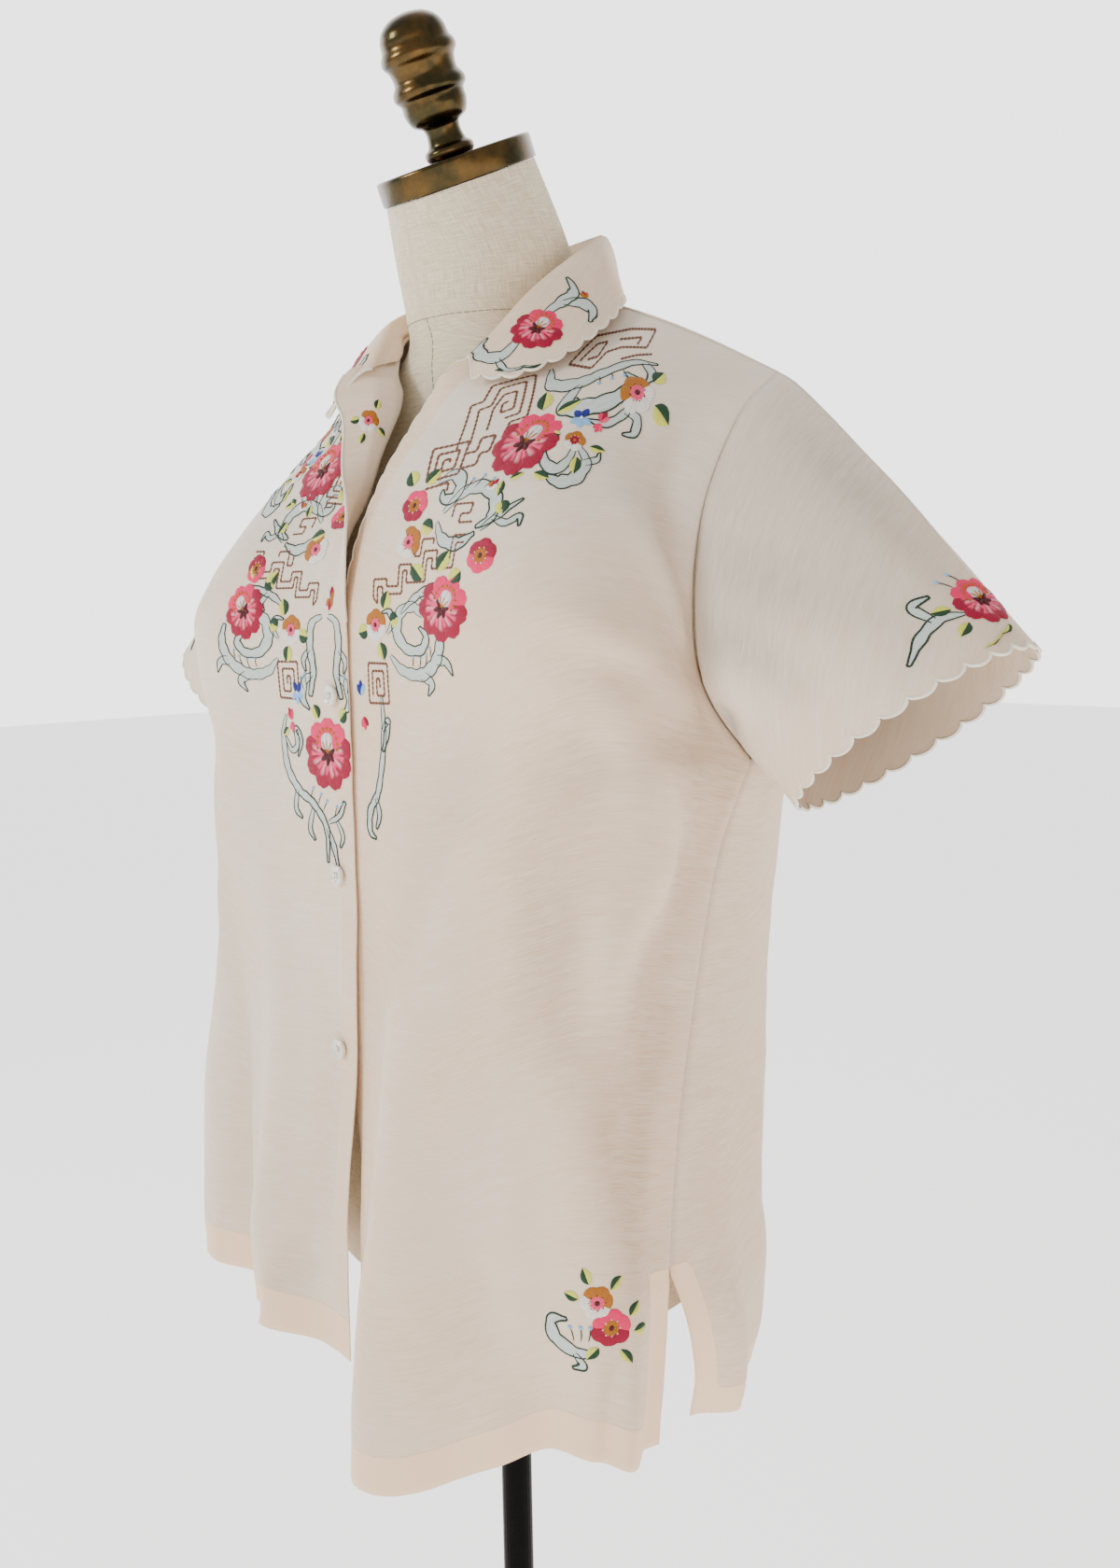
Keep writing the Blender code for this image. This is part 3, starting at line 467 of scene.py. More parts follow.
def creaseField(lines, cols, rows, size):  # soft creases, each along a line on the panel
    a, b = np.meshgrid(cols * size[0], rows * size[1], indexing="ij")
    field = np.zeros(a.shape)
    for x0, y0, x1, y1, width, depth in lines:
        x0, x1, y0, y1 = x0 * size[0], x1 * size[0], y0 * size[1], y1 * size[1]
        run = math.hypot(x1 - x0, y1 - y0)
        t = ((a - x0) * (x1 - x0) + (b - y0) * (y1 - y0)) / run ** 2
        fade = np.sin(np.pi * np.clip(t, 0, 1))
        off = ((a - x0) * (y1 - y0) - (b - y0) * (x1 - x0)) / run - crease["bow"] * run * fade
        ridge = np.exp(-(off / (width * crease["widen"])) ** 2)
        field += depth * crease["deepen"] * ridge * fade ** 0.8
    return field


def sheerTintAndShade(node, across, up):  # how warm the cloth looks: the warm form showing through the sheer cloth, plus painted shade that differs by panel, by height and on the lapel strips as the light fell
    if node == "front_left":
        return 0.76 - 0.34 * ease((up - 0.70) / 0.16) if across > 0 else 0.95
    if node == "front_right":
        return 0.56 - 0.14 * ease((up - 0.70) / 0.16) if across > -0.05 else 0.75
    if node == "collar":
        return 0.75 if up > collar["fold"] else 0.9
    return 0.44 + 0.26 * up if "sleeve" in node else 0.74 - 0.3 * ease((up - 0.75) / 0.2)


def shadow(node, across, up):  # painted shade where the cloth hangs turned away from the light
    if "sleeve" in node:
        return 0.42 - 0.32 * ease((up - 0.25) / 0.6)
    if node == "back":
        return 0.10 + 0.36 * ease((abs(across) - 0.45) / 0.5)
    if node == "collar":
        return 0.0
    return 0.46 * ease((across - 0.60) / 0.36) * ease((0.92 - up) / 0.25)


def drawGrid(p, n, u, v, marks):  # the panel's faces, with its marks on the points
    bm = bmesh.new()
    cols, rows = p.shape[0] - 1, p.shape[1] - 1
    bmesh.ops.create_grid(bm, x_segments=cols, y_segments=rows, size=1.0)
    layers = [(bm.verts.layers.float.new(name), grid) for name, grid in marks.items()]
    cut = bm.loops.layers.uv.new("cut")
    index = {}
    for vert in bm.verts:
        i, j = round((vert.co.x + 1) / 2 * cols), round((vert.co.y + 1) / 2 * rows)
        index[vert] = (i, j)
        vert.co = p[i, j]
        for layer, grid in layers:
            vert[layer] = grid[i, j]
    for face in bm.faces:
        face.smooth = True
        for loop in face.loops:
            i, j = index[loop.vert]
            loop[cut].uv = (u[i, j], v[i, j])
    bm.faces.ensure_lookup_table()
    bm.normal_update()
    face = bm.faces[0]
    if face.normal.dot(Vector(n[index[face.verts[0]]])) < 0:
        bmesh.ops.reverse_faces(bm, faces=bm.faces)
    return bm


def clothPanel(node, point, cols, rows, side, creases=(), size=(0.22, 0.62), hem=(), joined=(),
               waves=0.0006, scallop=None, tube=False, seed=0):
    p = np.array([[point(float(a), float(b))[:] for b in rows] for a in cols])
    if scallop:
        scallop(p, cols, rows)
    stepA = np.linalg.norm(np.diff(p, axis=0), axis=2)
    stepB = np.linalg.norm(np.diff(p, axis=1), axis=2)
    zero = int(np.argmin(np.abs(cols)))
    u = np.concatenate([np.zeros((1, p.shape[1])), np.cumsum(stepA, axis=0)])
    u -= u[zero]
    v = np.concatenate([np.zeros((p.shape[0], 1)), np.cumsum(stepB, axis=1)], axis=1)
    away = {"top": v[:, -1:] - v, "bottom": v, "high": u[-1] - u, "low": u - u[0]}
    sewn = np.full(u.shape, 1.0)  # metres to the nearest sewn edge
    for edge in joined:
        closed = rows[None, :] > (ventTop if edge in ("high", "low") else -1)
        sewn = np.minimum(sewn, np.where(closed, away[edge], 1))
    da, db = np.gradient(p, axis=0), np.gradient(p, axis=1)
    if tube:
        da[0] = da[-1] = (p[1] - p[-2]) / 2
    n = np.cross(da, db)
    n *= side / np.maximum(np.linalg.norm(n, axis=2, keepdims=True), 1e-9)
    field = creaseField(creases, cols, rows, size)
    # Painted shade in the valleys of the creases.
    hollow = np.clip(-field / crease["darkAt"], -0.25, 0.9)
    for i, j in np.ndindex(u.shape):
        spot = Vector(p[i, j])
        coarse = noise.noise(spot * 14 + Vector((seed, 0, 0)))
        field[i, j] += waves * (coarse * 1.6 + noise.noise(spot * 38))
    beat = np.sin(v * 2 * math.pi / stitchLine["pitch"] + 2 * np.sin(v * 60))
    field += stitchLine["pucker"] * beat * np.exp(-sewn / stitchLine["reach"])
    field *= np.clip(sewn / stitchLine["calm"], 0, 1) ** 1.5
    field -= stitchLine["groove"] * np.exp(-(sewn / stitchLine["grooveWidth"]) ** 2)
    p = p + n * field[..., None]
    turned = np.full(u.shape, 9.0)
    if hem:
        turned = v / cloth["hemDepth"]
        start = v[:, int(np.searchsorted(rows, ventTop))][:, None]
        for edge in hem:  # the band fades out just past the vent's top
            band = np.maximum(away[edge] / cloth["ventDepth"], 1 + (v - start) / 0.010)
            turned = np.minimum(turned, band)
    # Warm tint from the form through the cloth, with painted shade by panel and height.
    sheer = np.array([[sheerTintAndShade(node, a, b) for b in rows] for a in cols])
    # More painted shade where the cloth hangs turned away from the light.
    hollow += np.array([[shadow(node, a, b) for b in rows] for a in cols])
    bm = drawGrid(p, n, u, v, {"turned": turned, "sheer": sheer, "hollow": hollow})
    if tube:
        bmesh.ops.remove_doubles(bm, verts=bm.verts, dist=0.00002)
    mesh = meshFrom(f"cloth_{node}", bm)
    mesh.materials.append(clothMaterial(node))
    obj = addObject(f"cloth_{node}", mesh)
    wall = obj.modifiers.new("wall", "SOLIDIFY")
    wall.thickness, wall.offset, wall.use_even_offset = cloth["thickness"], -1.0, False
    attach(obj, "root")
    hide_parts(node)
    cells = np.cross(p[1:, :-1] - p[:-1, :-1], p[:-1, 1:] - p[:-1, :-1])
    area = float(np.linalg.norm(cells, axis=2).sum())
    wide, tall = float(np.max(u[-1] - u[0])), float(np.max(v[:, -1]))
    print(f"cloth_{node}: cut {wide:.3f} x {tall:.3f} m, area {area:.4f}")
    return {"node": node, "obj": obj, "p": p, "n": n, "u": u, "cols": cols, "rows": rows,
            "v": np.mean(v, axis=0) if tube else v[zero], "cut": (wide, tall), "area": area,
            "trims": []}


def outward(edge, inner):
    out = edge - inner
    return out / np.maximum(np.linalg.norm(out, axis=1, keepdims=True), 1e-9)


scallopWidth, scallopRound = 0.0135, 0.65


def tongues(edge, tall, sunk, count=None):  # rounded, in one width or in a count
    steps = np.linalg.norm(np.diff(edge, axis=0), axis=1)
    run = np.concatenate([[0], np.cumsum(steps)]) / scallopWidth
    turns = np.linspace(0, count, len(edge)) if count else run
    return tall * np.abs(np.sin(np.pi * turns)) ** scallopRound - sunk


def edgeScallops(inner, begin, *shape):
    def press(p, cols, rows):
        out, tongue = outward(p[:, -1], p[:, -inner]), tongues(p[:, -1], *shape)
        for j, row in enumerate(rows):
            p[:, j] += out * (tongue * ease((row - begin) / (1 - begin)))[:, None]
    return press


def lapelScallops(p, cols, rows):
    out = outward(p[0], p[3])
    strength = np.array([ease((r - 0.72) / 0.03) * ease((0.95 - r) / 0.01) for r in rows])
    tongue = tongues(p[0], 0.0034, 0.0016) * strength
    for i, col in enumerate(cols):
        if col < -0.5:
            p[i] += out * (tongue * ease((-col - 0.5) / 0.5))[:, None]


# Creases: from (across, up) to (across, up), width and depth in metres.
leftCreases = (
    (0.95, 0.66, 0.45, 0.74, 0.011, 0.003), (0.97, 0.62, 0.4, 0.6, 0.014, -0.0028),
    (0.93, 0.58, 0.55, 0.4, 0.012, 0.0026), (0.98, 0.72, 0.7, 0.84, 0.009, 0.0022),
    (0.3, 0.55, 0.22, 0.1, 0.012, 0.0024), (0.48, 0.52, 0.42, 0.05, 0.013, -0.0026),
    (0.7, 0.5, 0.62, 0.08, 0.012, 0.0022), (0.86, 0.5, 0.84, 0.12, 0.01, -0.002),
    (0.12, 0.5, 0.1, 0.15, 0.009, -0.0016), (0.05, 0.4, 0.16, 0.02, 0.008, 0.0015),
    (0.6, 0.96, 0.5, 0.84, 0.01, 0.0014), (0.82, 0.95, 0.9, 0.8, 0.008, -0.0014),
    (0.44, 0.6, 0.95, 0.16, 0.016, -0.004), (0.26, 0.56, 0.6, 0.06, 0.018, 0.0036),
    (0.98, 0.68, 0.82, 0.28, 0.018, -0.004), (0.6, 0.7, 0.93, 0.42, 0.012, 0.0034),
    (0.9, 0.7, 0.52, 0.66, 0.012, -0.0026), (0.34, 0.66, 0.2, 0.34, 0.014, -0.0022),
    (0.96, 0.76, 0.66, 0.9, 0.012, -0.002),
)
rightCreases = (
    (0.95, 0.66, 0.45, 0.74, 0.011, 0.0028), (0.96, 0.61, 0.42, 0.57, 0.013, -0.0026),
    (0.93, 0.57, 0.6, 0.38, 0.012, 0.0024), (0.28, 0.54, 0.24, 0.06, 0.01, 0.0022),
    (0.44, 0.5, 0.5, 0.04, 0.012, -0.0022), (0.74, 0.5, 0.7, 0.06, 0.011, 0.002),
    (0.06, 0.42, 0.1, 0.04, 0.008, -0.0014), (0.55, 0.3, 0.6, 0.02, 0.01, 0.0022),
    (0.18, 0.2, 0.3, 0.01, 0.009, 0.0026), (0.1, 0.14, 0.2, 0.0, 0.007, -0.0022),
    (0.46, 0.58, 0.93, 0.18, 0.016, -0.003), (0.97, 0.67, 0.84, 0.3, 0.018, -0.003),
)
backCreases = (
    (0.9, 0.66, 0.4, 0.74, 0.014, 0.0024), (-0.9, 0.66, -0.42, 0.72, 0.014, 0.0024),
    (0.94, 0.6, 0.45, 0.58, 0.015, -0.0024), (-0.92, 0.59, -0.4, 0.56, 0.015, -0.0022),
    (0.22, 0.6, 0.18, 0.06, 0.016, 0.0024), (-0.24, 0.58, -0.2, 0.05, 0.016, 0.0022),
    (0.52, 0.52, 0.48, 0.08, 0.015, 0.002), (-0.54, 0.5, -0.5, 0.08, 0.015, 0.0022),
    (0.05, 0.5, 0.02, 0.1, 0.014, -0.002), (0.6, 0.92, 0.35, 0.8, 0.012, 0.0016),
    (-0.6, 0.92, -0.36, 0.8, 0.012, 0.0016),
)
sleeveCreases = (
    (0.2, 0.05, 0.26, 0.8, 0.01, -0.0022), (0.12, 0.04, 0.2, 0.6, 0.009, 0.0022),
    (0.34, 0.1, 0.34, 0.9, 0.012, 0.0016), (0.78, 0.05, 0.72, 0.8, 0.01, -0.002),
    (0.88, 0.04, 0.82, 0.6, 0.009, 0.002), (0.05, 0.1, 0.15, 0.5, 0.008, -0.0018),
    (0.95, 0.1, 0.88, 0.5, 0.008, -0.0016), (0.62, 0.1, 0.6, 0.85, 0.012, 0.0014),
    (0.27, 0.0, 0.38, 0.95, 0.014, -0.003), (0.72, 0.0, 0.61, 0.95, 0.014, -0.003),
    (0.44, 0.05, 0.45, 0.9, 0.011, -0.0018),
)
frontGrid = stops(-1.0, (0.0, 20), (1.0, 104)), stops(0.0, (0.70, 110), (0.955, 104), (1.0, 14))
backGrid = stops(-1.0, (1.0, 120)), stops(0.0, (1.0, 140))
sleeveGrid = stops(0.0, (1.0, 280)), stops(0.0, (0.92, 26), (1.0, 12))
collarGrid = stops(-1.0, (1.0, 400)), stops(0.0, (0.40, 8), (0.9, 14), (1.0, 6))
frontSewing = {"hem": ("high",), "joined": ("top", "high")}
sleeveSewing = {"joined": ("bottom",), "tube": True, "waves": 0.0005, "size": (0.40, 0.14),
                "scallop": edgeScallops(4, 0.93, 0.0042, 0.0022, 28)}
panels = {
    "L": clothPanel("front_left", leftFront, *frontGrid, 1, leftCreases, **frontSewing,
                    scallop=lapelScallops, seed=1),
    "R": clothPanel("front_right", rightFront, *frontGrid, -1, rightCreases, **frontSewing,
                    seed=2),
    "B": clothPanel("back", backPanel, *backGrid, -1, backCreases, hem=("low", "high"),
                    joined=("top", "low", "high"), waves=0.0008, seed=3),
    "SL": clothPanel("sleeve_left", leftSleeve, *sleeveGrid, -1, sleeveCreases, **sleeveSewing,
                     seed=4),
    "SR": clothPanel("sleeve_right", rightSleeve, *sleeveGrid, 1, sleeveCreases, **sleeveSewing,
                     seed=5),
    "C": clothPanel("collar", collarPoint, *collarGrid, 1, (), (0.24, 0.08), joined=("bottom",),
                    scallop=edgeScallops(3, 0.90, 0.0036, 0.0018), waves=0.0003, seed=6),
}
print("cloth panels made")

# The dress form and its stand.
form = {"sides": 96, "rings": 90, "neckTop": 0.0475, "capCentre": Vector((0.0, -0.026, 1.445)),
        "capRadius": 0.049, "capThick": 0.0148, "tilt": 24.0, "seamShare": 0.86, "seat": 0.0003}
neckTilt = math.radians(form["tilt"])
neckAxis = Vector((0, -math.sin(neckTilt), math.cos(neckTilt)))
# height, half width, front, back, centre y, tilt
formSections = (
    (0.757, 0.146, 0.098, 0.105, -0.003, 0), (0.8, 0.154, 0.102, 0.112, -0.003, 0),
    (0.86, 0.148, 0.095, 0.105, 0.0, 0), (0.92, 0.124, 0.082, 0.088, 0.0, 0),
    (0.975, 0.11, 0.078, 0.08, 0.0, 0), (1.04, 0.122, 0.088, 0.088, 0.0, 0),
    (1.11, 0.142, 0.104, 0.096, 0.0, 0), (1.16, 0.15, 0.104, 0.102, 0.0, 0),
    (1.215, 0.156, 0.092, 0.097, 0.004, 0), (1.255, 0.164, 0.074, 0.08, 0.008, 0),
    (1.285, 0.164, 0.06, 0.062, 0.01, 0), (1.306, 0.14, 0.057, 0.056, 0.009, 0),
    (1.326, 0.092, 0.054, 0.052, 0.005, 0), (1.343, 0.06, 0.051, 0.052, 0.003, 0),
    (1.364, 0.052, 0.055, 0.055, 0.001, 5), (1.392, 0.052, 0.056, 0.056, -0.004, 11),
)
# height, radius
finialTurning = (
    (0.0, 0.0135), (0.002, 0.015), (0.0055, 0.015), (0.0085, 0.0118), (0.0185, 0.0112),
    (0.0215, 0.0165), (0.0285, 0.0195), (0.0345, 0.0197), (0.0375, 0.0222), (0.0412, 0.0222),
    (0.046, 0.0196), (0.053, 0.0204), (0.0565, 0.0228), (0.0602, 0.0228), (0.064, 0.0208),
    (0.07, 0.0198), (0.0755, 0.0165), (0.0798, 0.0095), (0.0815, 0.0004),
)


def linenMaterial():
    look, tree, inputs = newMaterial("cream_linen", (0.70, 0.655, 0.53), 0.88, Sheen_Weight=0.1)
    cut = addNode(tree, "UVMap", uv_map="cut").outputs[0]
    parts = addNode(tree, "SeparateXYZ", ((0, cut),)).outputs
    threads = []
    for along, over in ((0, 1), (1, 0)):  # weft, then warp
        run = addNode(tree, "CombineXYZ", ((0, mathNode(tree, "DIVIDE", parts[along], 0.012)),
                                           (1, mathNode(tree, "DIVIDE", parts[over], 0.0009)),
                                           (2, along * 7.0)))
        threads.append(speckle(tree, run.outputs[0], 1.0, 2.0))
    weave = mathNode(tree, "MULTIPLY", mathNode(tree, "ADD", *threads), 0.5)
    colour = mixColour(tree, spread(tree, weave, 0.40, 0.60), (0.58, 0.48, 0.32), (0.76, 0.67, 0.50))
    tree.links.new(colour, inputs["Base Color"])
    raised(tree, inputs, weave, 0.5, 0.0006)
    return look


def formSkin(table, share, x, y, swell=1.0):  # a point of the skin for one of the unit circle
    height, half, front, back, centre, lean = readTable(table, share)
    flat = Vector((x * half, y * (front if y < 0 else back), 0))
    turned = Matrix.Rotation(math.radians(lean), 3, "X") @ flat
    return turned * swell + Vector((0, centre, height))


def makeForm():
    top, neck = form["capCentre"] - neckAxis * (form["capThick"] / 2 + form["seat"]), form["neckTop"]
    sections = [*formSections, (top.z, neck, neck, neck, top.y, form["tilt"])]
    table = tuple((k / (len(sections) - 1), *row) for k, row in enumerate(sections))
    bm = bmesh.new()
    cut = bm.loops.layers.uv.new("cut")
    rings, place = [], {}
    for k in range(form["rings"] + 1):
        share = k / form["rings"]
        height, half = readTable(table, share)[:2]
        rings.append(bmesh.ops.create_circle(bm, segments=form["sides"], radius=1.0)["verts"])
        for vert in rings[-1]:
            place[vert] = (math.atan2(vert.co.x, vert.co.y) * half, height)
            vert.co = formSkin(table, share, vert.co.x, vert.co.y)
    for pair in zip(rings, rings[1:]):
        edges = {e for ring in pair for v in ring for e in v.link_edges if e.other_vert(v) in ring}
        bmesh.ops.bridge_loops(bm, edges=list(edges))
    for ring in (rings[0], rings[-1]):
        bm.faces.new(ring)
    bmesh.ops.recalc_face_normals(bm, faces=bm.faces)
    for face in bm.faces:
        for loop in face.loops:
            loop[cut].uv = place[loop.vert]
    finishPiece("form_cover", bm, linenMaterial(), ("form_torso",), 60)
    return table


def bronzeMaterial():
    dark, warm, roughness = (0.040, 0.032, 0.012), (0.11, 0.060, 0.018), 0.22
    look, tree, inputs = newMaterial("antique_bronze", dark, roughness, 1.0, Coat_Weight=0.12)
    place = objectPlace(tree)
    patina = speckle(tree, place, 55.0, 4.0, 0.6)
    colour = mixColour(tree, spread(tree, patina, 0.42, 0.68), dark, warm)
    tree.links.new(colour, inputs["Base Color"])
    rough = spread(tree, patina, least=roughness - 0.08, most=roughness + 0.16)
    tree.links.new(rough, inputs["Roughness"])
    raised(tree, inputs, speckle(tree, place, 400.0, 2.0), 0.12, 0.0004)
    return look


def lathe(profile, sides, tilt, base):  # turns (radius, height) pairs, then leans and places them
    bm = bmesh.new()
    verts = [bm.verts.new((r, 0, h)) for r, h in profile]
    edges = [bm.edges.new(pair) for pair in zip(verts, verts[1:])]
    bmesh.ops.spin(bm, geom=verts + edges, cent=(0, 0, 0), axis=(0, 0, 1), angle=2 * math.pi,
                   steps=sides, use_merge=True)
    bmesh.ops.remove_doubles(bm, verts=bm.verts, dist=0.00002)
    for r, h in (profile[0], profile[-1]):
        if r > 0.0005:
            rim = [v for v in bm.verts if abs(v.co.z - h) < 1e-6
                   and abs(math.hypot(v.co.x, v.co.y) - r) < 1e-6]
            ring = list({e for v in rim for e in v.link_edges if e.is_boundary})
            bmesh.ops.contextual_create(bm, geom=ring)
    bmesh.ops.recalc_face_normals(bm, faces=bm.faces)
    bmesh.ops.rotate(bm, verts=bm.verts, cent=(0, 0, 0), matrix=Matrix.Rotation(tilt, 3, "X"))
    bmesh.ops.translate(bm, verts=bm.verts, vec=base)
    return bm


def makeFittings():
    centre, half, r = form["capCentre"], form["capThick"] / 2, form["capRadius"]
    bronze = bronzeMaterial()
    rim = [(r - 0.0015, -half), (r - 0.0004, -half + 0.0004), (r, -half + 0.0014),
           (r, half - 0.0022), (r - 0.0003, half - 0.0010), (r - 0.0012, half - 0.0002),
           (r - 0.0026, half), (r * 0.5, half + 0.0001)]
    cap = lathe(rim, 128, neckTilt, centre)
    finishPiece("bronze_cap", cap, bronze, ("neck_cap",))
    heights = [k / 90 * finialTurning[-1][0] for k in range(91)]
    profile = [(max(readTable(finialTurning, h)[0], 0.0), h) for h in heights]
    knob = lathe(profile, 72, neckTilt, centre + neckAxis * (half + form["seat"]))
    finishPiece("bronze_finial", knob, bronze, ("finial",), 70)
    black, tree, inputs = newMaterial("gloss_black", (0.003, 0.003, 0.003), 0.16,
                                      Specular_IOR_Level=0.03)
    dust = speckle(tree, objectPlace(tree), 130.0, 3.0)
    tree.links.new(spread(tree, dust, least=0.16, most=0.36), inputs["Roughness"])
    colour = mixColour(tree, dust, (0.002, 0.002, 0.002), (0.006, 0.005, 0.005))
    tree.links.new(colour, inputs["Base Color"])
    for node in ("pole", "base"):
        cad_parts[node].material_slots[0].material = black


formTable = makeForm()
makeFittings()
print("form and fittings made")

# The embroidery: stitched shapes on the panels, in millimetres as seen from outside.
silk = {"pink": (0.92, 0.020, 0.13), "crimson": (0.36, 0.002, 0.035), "rose": (0.95, 0.09, 0.20),
        "ochre": (0.46, 0.155, 0.010), "maroon": (0.085, 0.010, 0.014), "white": (0.92, 0.88, 0.80),
        "green": (0.016, 0.060, 0.025), "lime": (0.78, 0.80, 0.12), "royal": (0.012, 0.022, 0.26),
        "sky": (0.26, 0.56, 0.92), "fret": (0.20, 0.080, 0.045), "outline": (0.035, 0.070, 0.045),
        "cloud": (0.68, 0.75, 0.71)}
mm = 0.001


def silkMaterial():
    look, tree, inputs = newMaterial("silk_thread", (0.8, 0.2, 0.25), 0.55, Specular_IOR_Level=0.14)
    dye, run = painted(tree, "dye", "Color"), painted(tree, "thread", "Vector")
    strand = speckle(tree, stretch(tree, run, (2400.0, 120.0, 1.0)), 1.0, 1.0)
    across = addNode(tree, "SeparateXYZ", ((0, run),)).outputs[0]
    ridge = mathNode(tree, "SINE", mathNode(tree, "MULTIPLY", across, 2 * math.pi / 0.0007))
    # Darker and paler strands: random thread tone, partly painted sheen and shade on the satin.
    strandShade = mixColour(tree, 0.30, dye, (0.0, 0.0, 0.0))
    strandSheen = mixColour(tree, 0.015, dye, (1.0, 1.0, 1.0))
    colour = mixColour(tree, spread(tree, strand, 0.3, 0.7), strandShade, strandSheen)
    tree.links.new(colour, inputs["Base Color"])
    height = mathNode(tree, "ADD", mathNode(tree, "MULTIPLY", ridge, 0.3), strand)
    raised(tree, inputs, height, 0.55, 0.0004)
    return look


def between(values, at):  # the index below a place in a list, and how far past it
    place = float(np.interp(at, values, np.arange(len(values))))
    low = min(int(place), len(values) - 2)
    return low, place - low


def locate(panel, u, v):  # a point of the finished cloth and its outward direction
    j, f = between(panel["v"], v)
    i, e = between(panel["u"][:, j] * (1 - f) + panel["u"][:, j + 1] * f, u)
    found = []
    for grid in (panel["p"], panel["n"]):
        low = grid[i, j] * (1 - e) + grid[i + 1, j] * e
        high = grid[i, j + 1] * (1 - e) + grid[i + 1, j + 1] * e
        found.append(Vector(low * (1 - f) + high * f))
    return found


def hoop(key, across, up, turn, flip, wide, tall, inside):  # a small flat drawing on a panel
    panel, step = panels[key], 0.003
    (i, e), (j, f) = between(panel["cols"], across), between(panel["rows"], up)
    u0 = panel["u"][i, j] * (1 - e) + panel["u"][i + 1, j] * e
    v0 = panel["v"][j] * (1 - f) + panel["v"][j + 1] * f
    n = locate(panel, u0, v0)[1] * (-1 if inside else 1)
    du = (locate(panel, u0 + step, v0)[0] - locate(panel, u0 - step, v0)[0]) / (2 * step)
    dv = (locate(panel, u0, v0 + step)[0] - locate(panel, u0, v0 - step)[0]) / (2 * step)
    top = (Vector((0, 0, 1)) - n * n.z).normalized()
    right = top.cross(n)
    inverse = Matrix(((du.dot(right), dv.dot(right)), (du.dot(top), dv.dot(top)))).inverted()
    c, s = math.cos(math.radians(turn)), math.sin(math.radians(turn))

    def spot(x, y, lift):
        d = inverse @ Vector(((x * c - y * s) * wide * mm * flip, (x * s + y * c) * tall * mm))
        p, out = locate(panel, u0 + d.x, v0 + d.y)
        return p + out * (-cloth["thickness"] - lift if inside else lift)
    return spot


def newWork():
    bm = bmesh.new()
    layers = bm.verts.layers
    return {"bm": bm, "dye": layers.float_color.new("dye"), "thread": layers.float_vector.new("thread")}


def smoothPath(points, count):  # positions and directions on a smooth line, and its length
    pts = [Vector(q) for q in points]
    pts = [pts[0] * 2 - pts[1]] + pts + [pts[-1] * 2 - pts[-2]]
    path = []
    for k in range(count + 1):
        t = k / count * (len(points) - 1)
        i = min(int(t), len(points) - 2)
        f = t - i
        a, b, c, d = pts[i:i + 4]
        bend, twist = 2 * a - 5 * b + 4 * c - d, 3 * b - a - 3 * c + d
        q = 0.5 * ((2 * b) + (c - a) * f + bend * f * f + twist * f ** 3)
        w = 0.5 * ((c - a) + 2 * bend * f + 3 * twist * f * f)
        path.append((q, w.normalized() if w.length > 1e-9 else Vector((1, 0))))
    return path, sum((path[k + 1][0] - path[k][0]).length for k in range(count))


def widthAt(widths, share):
    return float(np.interp(share, np.linspace(0, 1, len(widths)), widths))


def satin(work, spot, spine, widths, dye, lift=0.5, cross=4, along=8, slant=0.0, crown=0.0,
          notch=0.0, ground=0.22):
    path, run = smoothPath(spine, along)
    grid = bmesh.ops.create_grid(work["bm"], x_segments=cross, y_segments=along, size=1.0)
    for vert in grid["verts"]:
        s, t = vert.co.x, (vert.co.y + 1) / 2
        back = t * (crown * s * s + notch * math.exp(-(s / 0.25) ** 2))
        (x, y), (dx, dy) = path[round(t * along)]
        w = widthAt(widths, t)
        x, y = x - dy * s * w - dx * back * run, y + dx * s * w - dy * back * run
        puff = math.sqrt(max(1 - s * s, 0.0)) * min(1.0, 5 * t + 0.15, 5 * (1 - t) + 0.15)
        vert.co = spot(x, y, (ground + lift * puff) * mm)
        vert[work["dye"]] = (*(dye(s, t) if callable(dye) else silk[dye]), 1.0)
        vert[work["thread"]] = ((s * w + slant * t * run) * mm, t * run * mm, 0.0)


def stemStitch(work, spot, points, width=0.62, along=None):
    run = smoothPath(points, 24)[1]

    def dye(s, t):
        k = 0.72 + 0.28 * math.cos(t * run * 2 * math.pi / 2.2)
        return tuple(c * k for c in silk["outline"])
    satin(work, spot, points, [width * 0.5, width, width, width * 0.5], dye, lift=0.32, cross=2,
          along=along or max(int(run / 1.1), 4), slant=0.8)


def backStitch(work, spot, *corners):  # stitches of about 3.2 mm
    for (x0, y0), (x1, y1) in zip(corners, corners[1:]):
        count = max(round(math.hypot(x1 - x0, y1 - y0) / 3.2), 1)
        for k in range(count):
            ends = [(x0 + (x1 - x0) * (k + f) / count, y0 + (y1 - y0) * (k + f) / count)
                    for f in (0.02, 0.98)]
            satin(work, spot, ends, [0.4675, 0.85, 0.85, 0.4675], "fret", lift=0.34, cross=2, along=3,
                  slant=0.9)


def scroll(work, spot, spine, widths):  # a filled curl with stitched edges
    count = max(16, 8 * len(spine))
    path, run = smoothPath(spine, count)
    lobes = math.pi * max(run / 11.0, 1)
    widths = [widthAt(widths, k / count) * (0.90 + 0.22 * abs(math.sin(k / count * lobes)))
              for k in range(count + 1)]
    satin(work, spot, spine, widths, "cloud", lift=0.06, cross=3, along=count, ground=0.14)
    around = []
    for side in (-1, 1):
        edge = [(p.x - d.y * w * side, p.y + d.x * w * side) for w, (p, d) in zip(widths, path)]
        around += edge[::-1] if side > 0 else edge
    stemStitch(work, spot, around, along=int(len(around) * 2.2))


def knot(work, spot, x, y, r, colour):
    satin(work, spot, [(x, y - r), (x, y + r)], [0.0, r * 0.75, r, r * 0.75, 0.0], colour, lift=0.75,
          along=4)


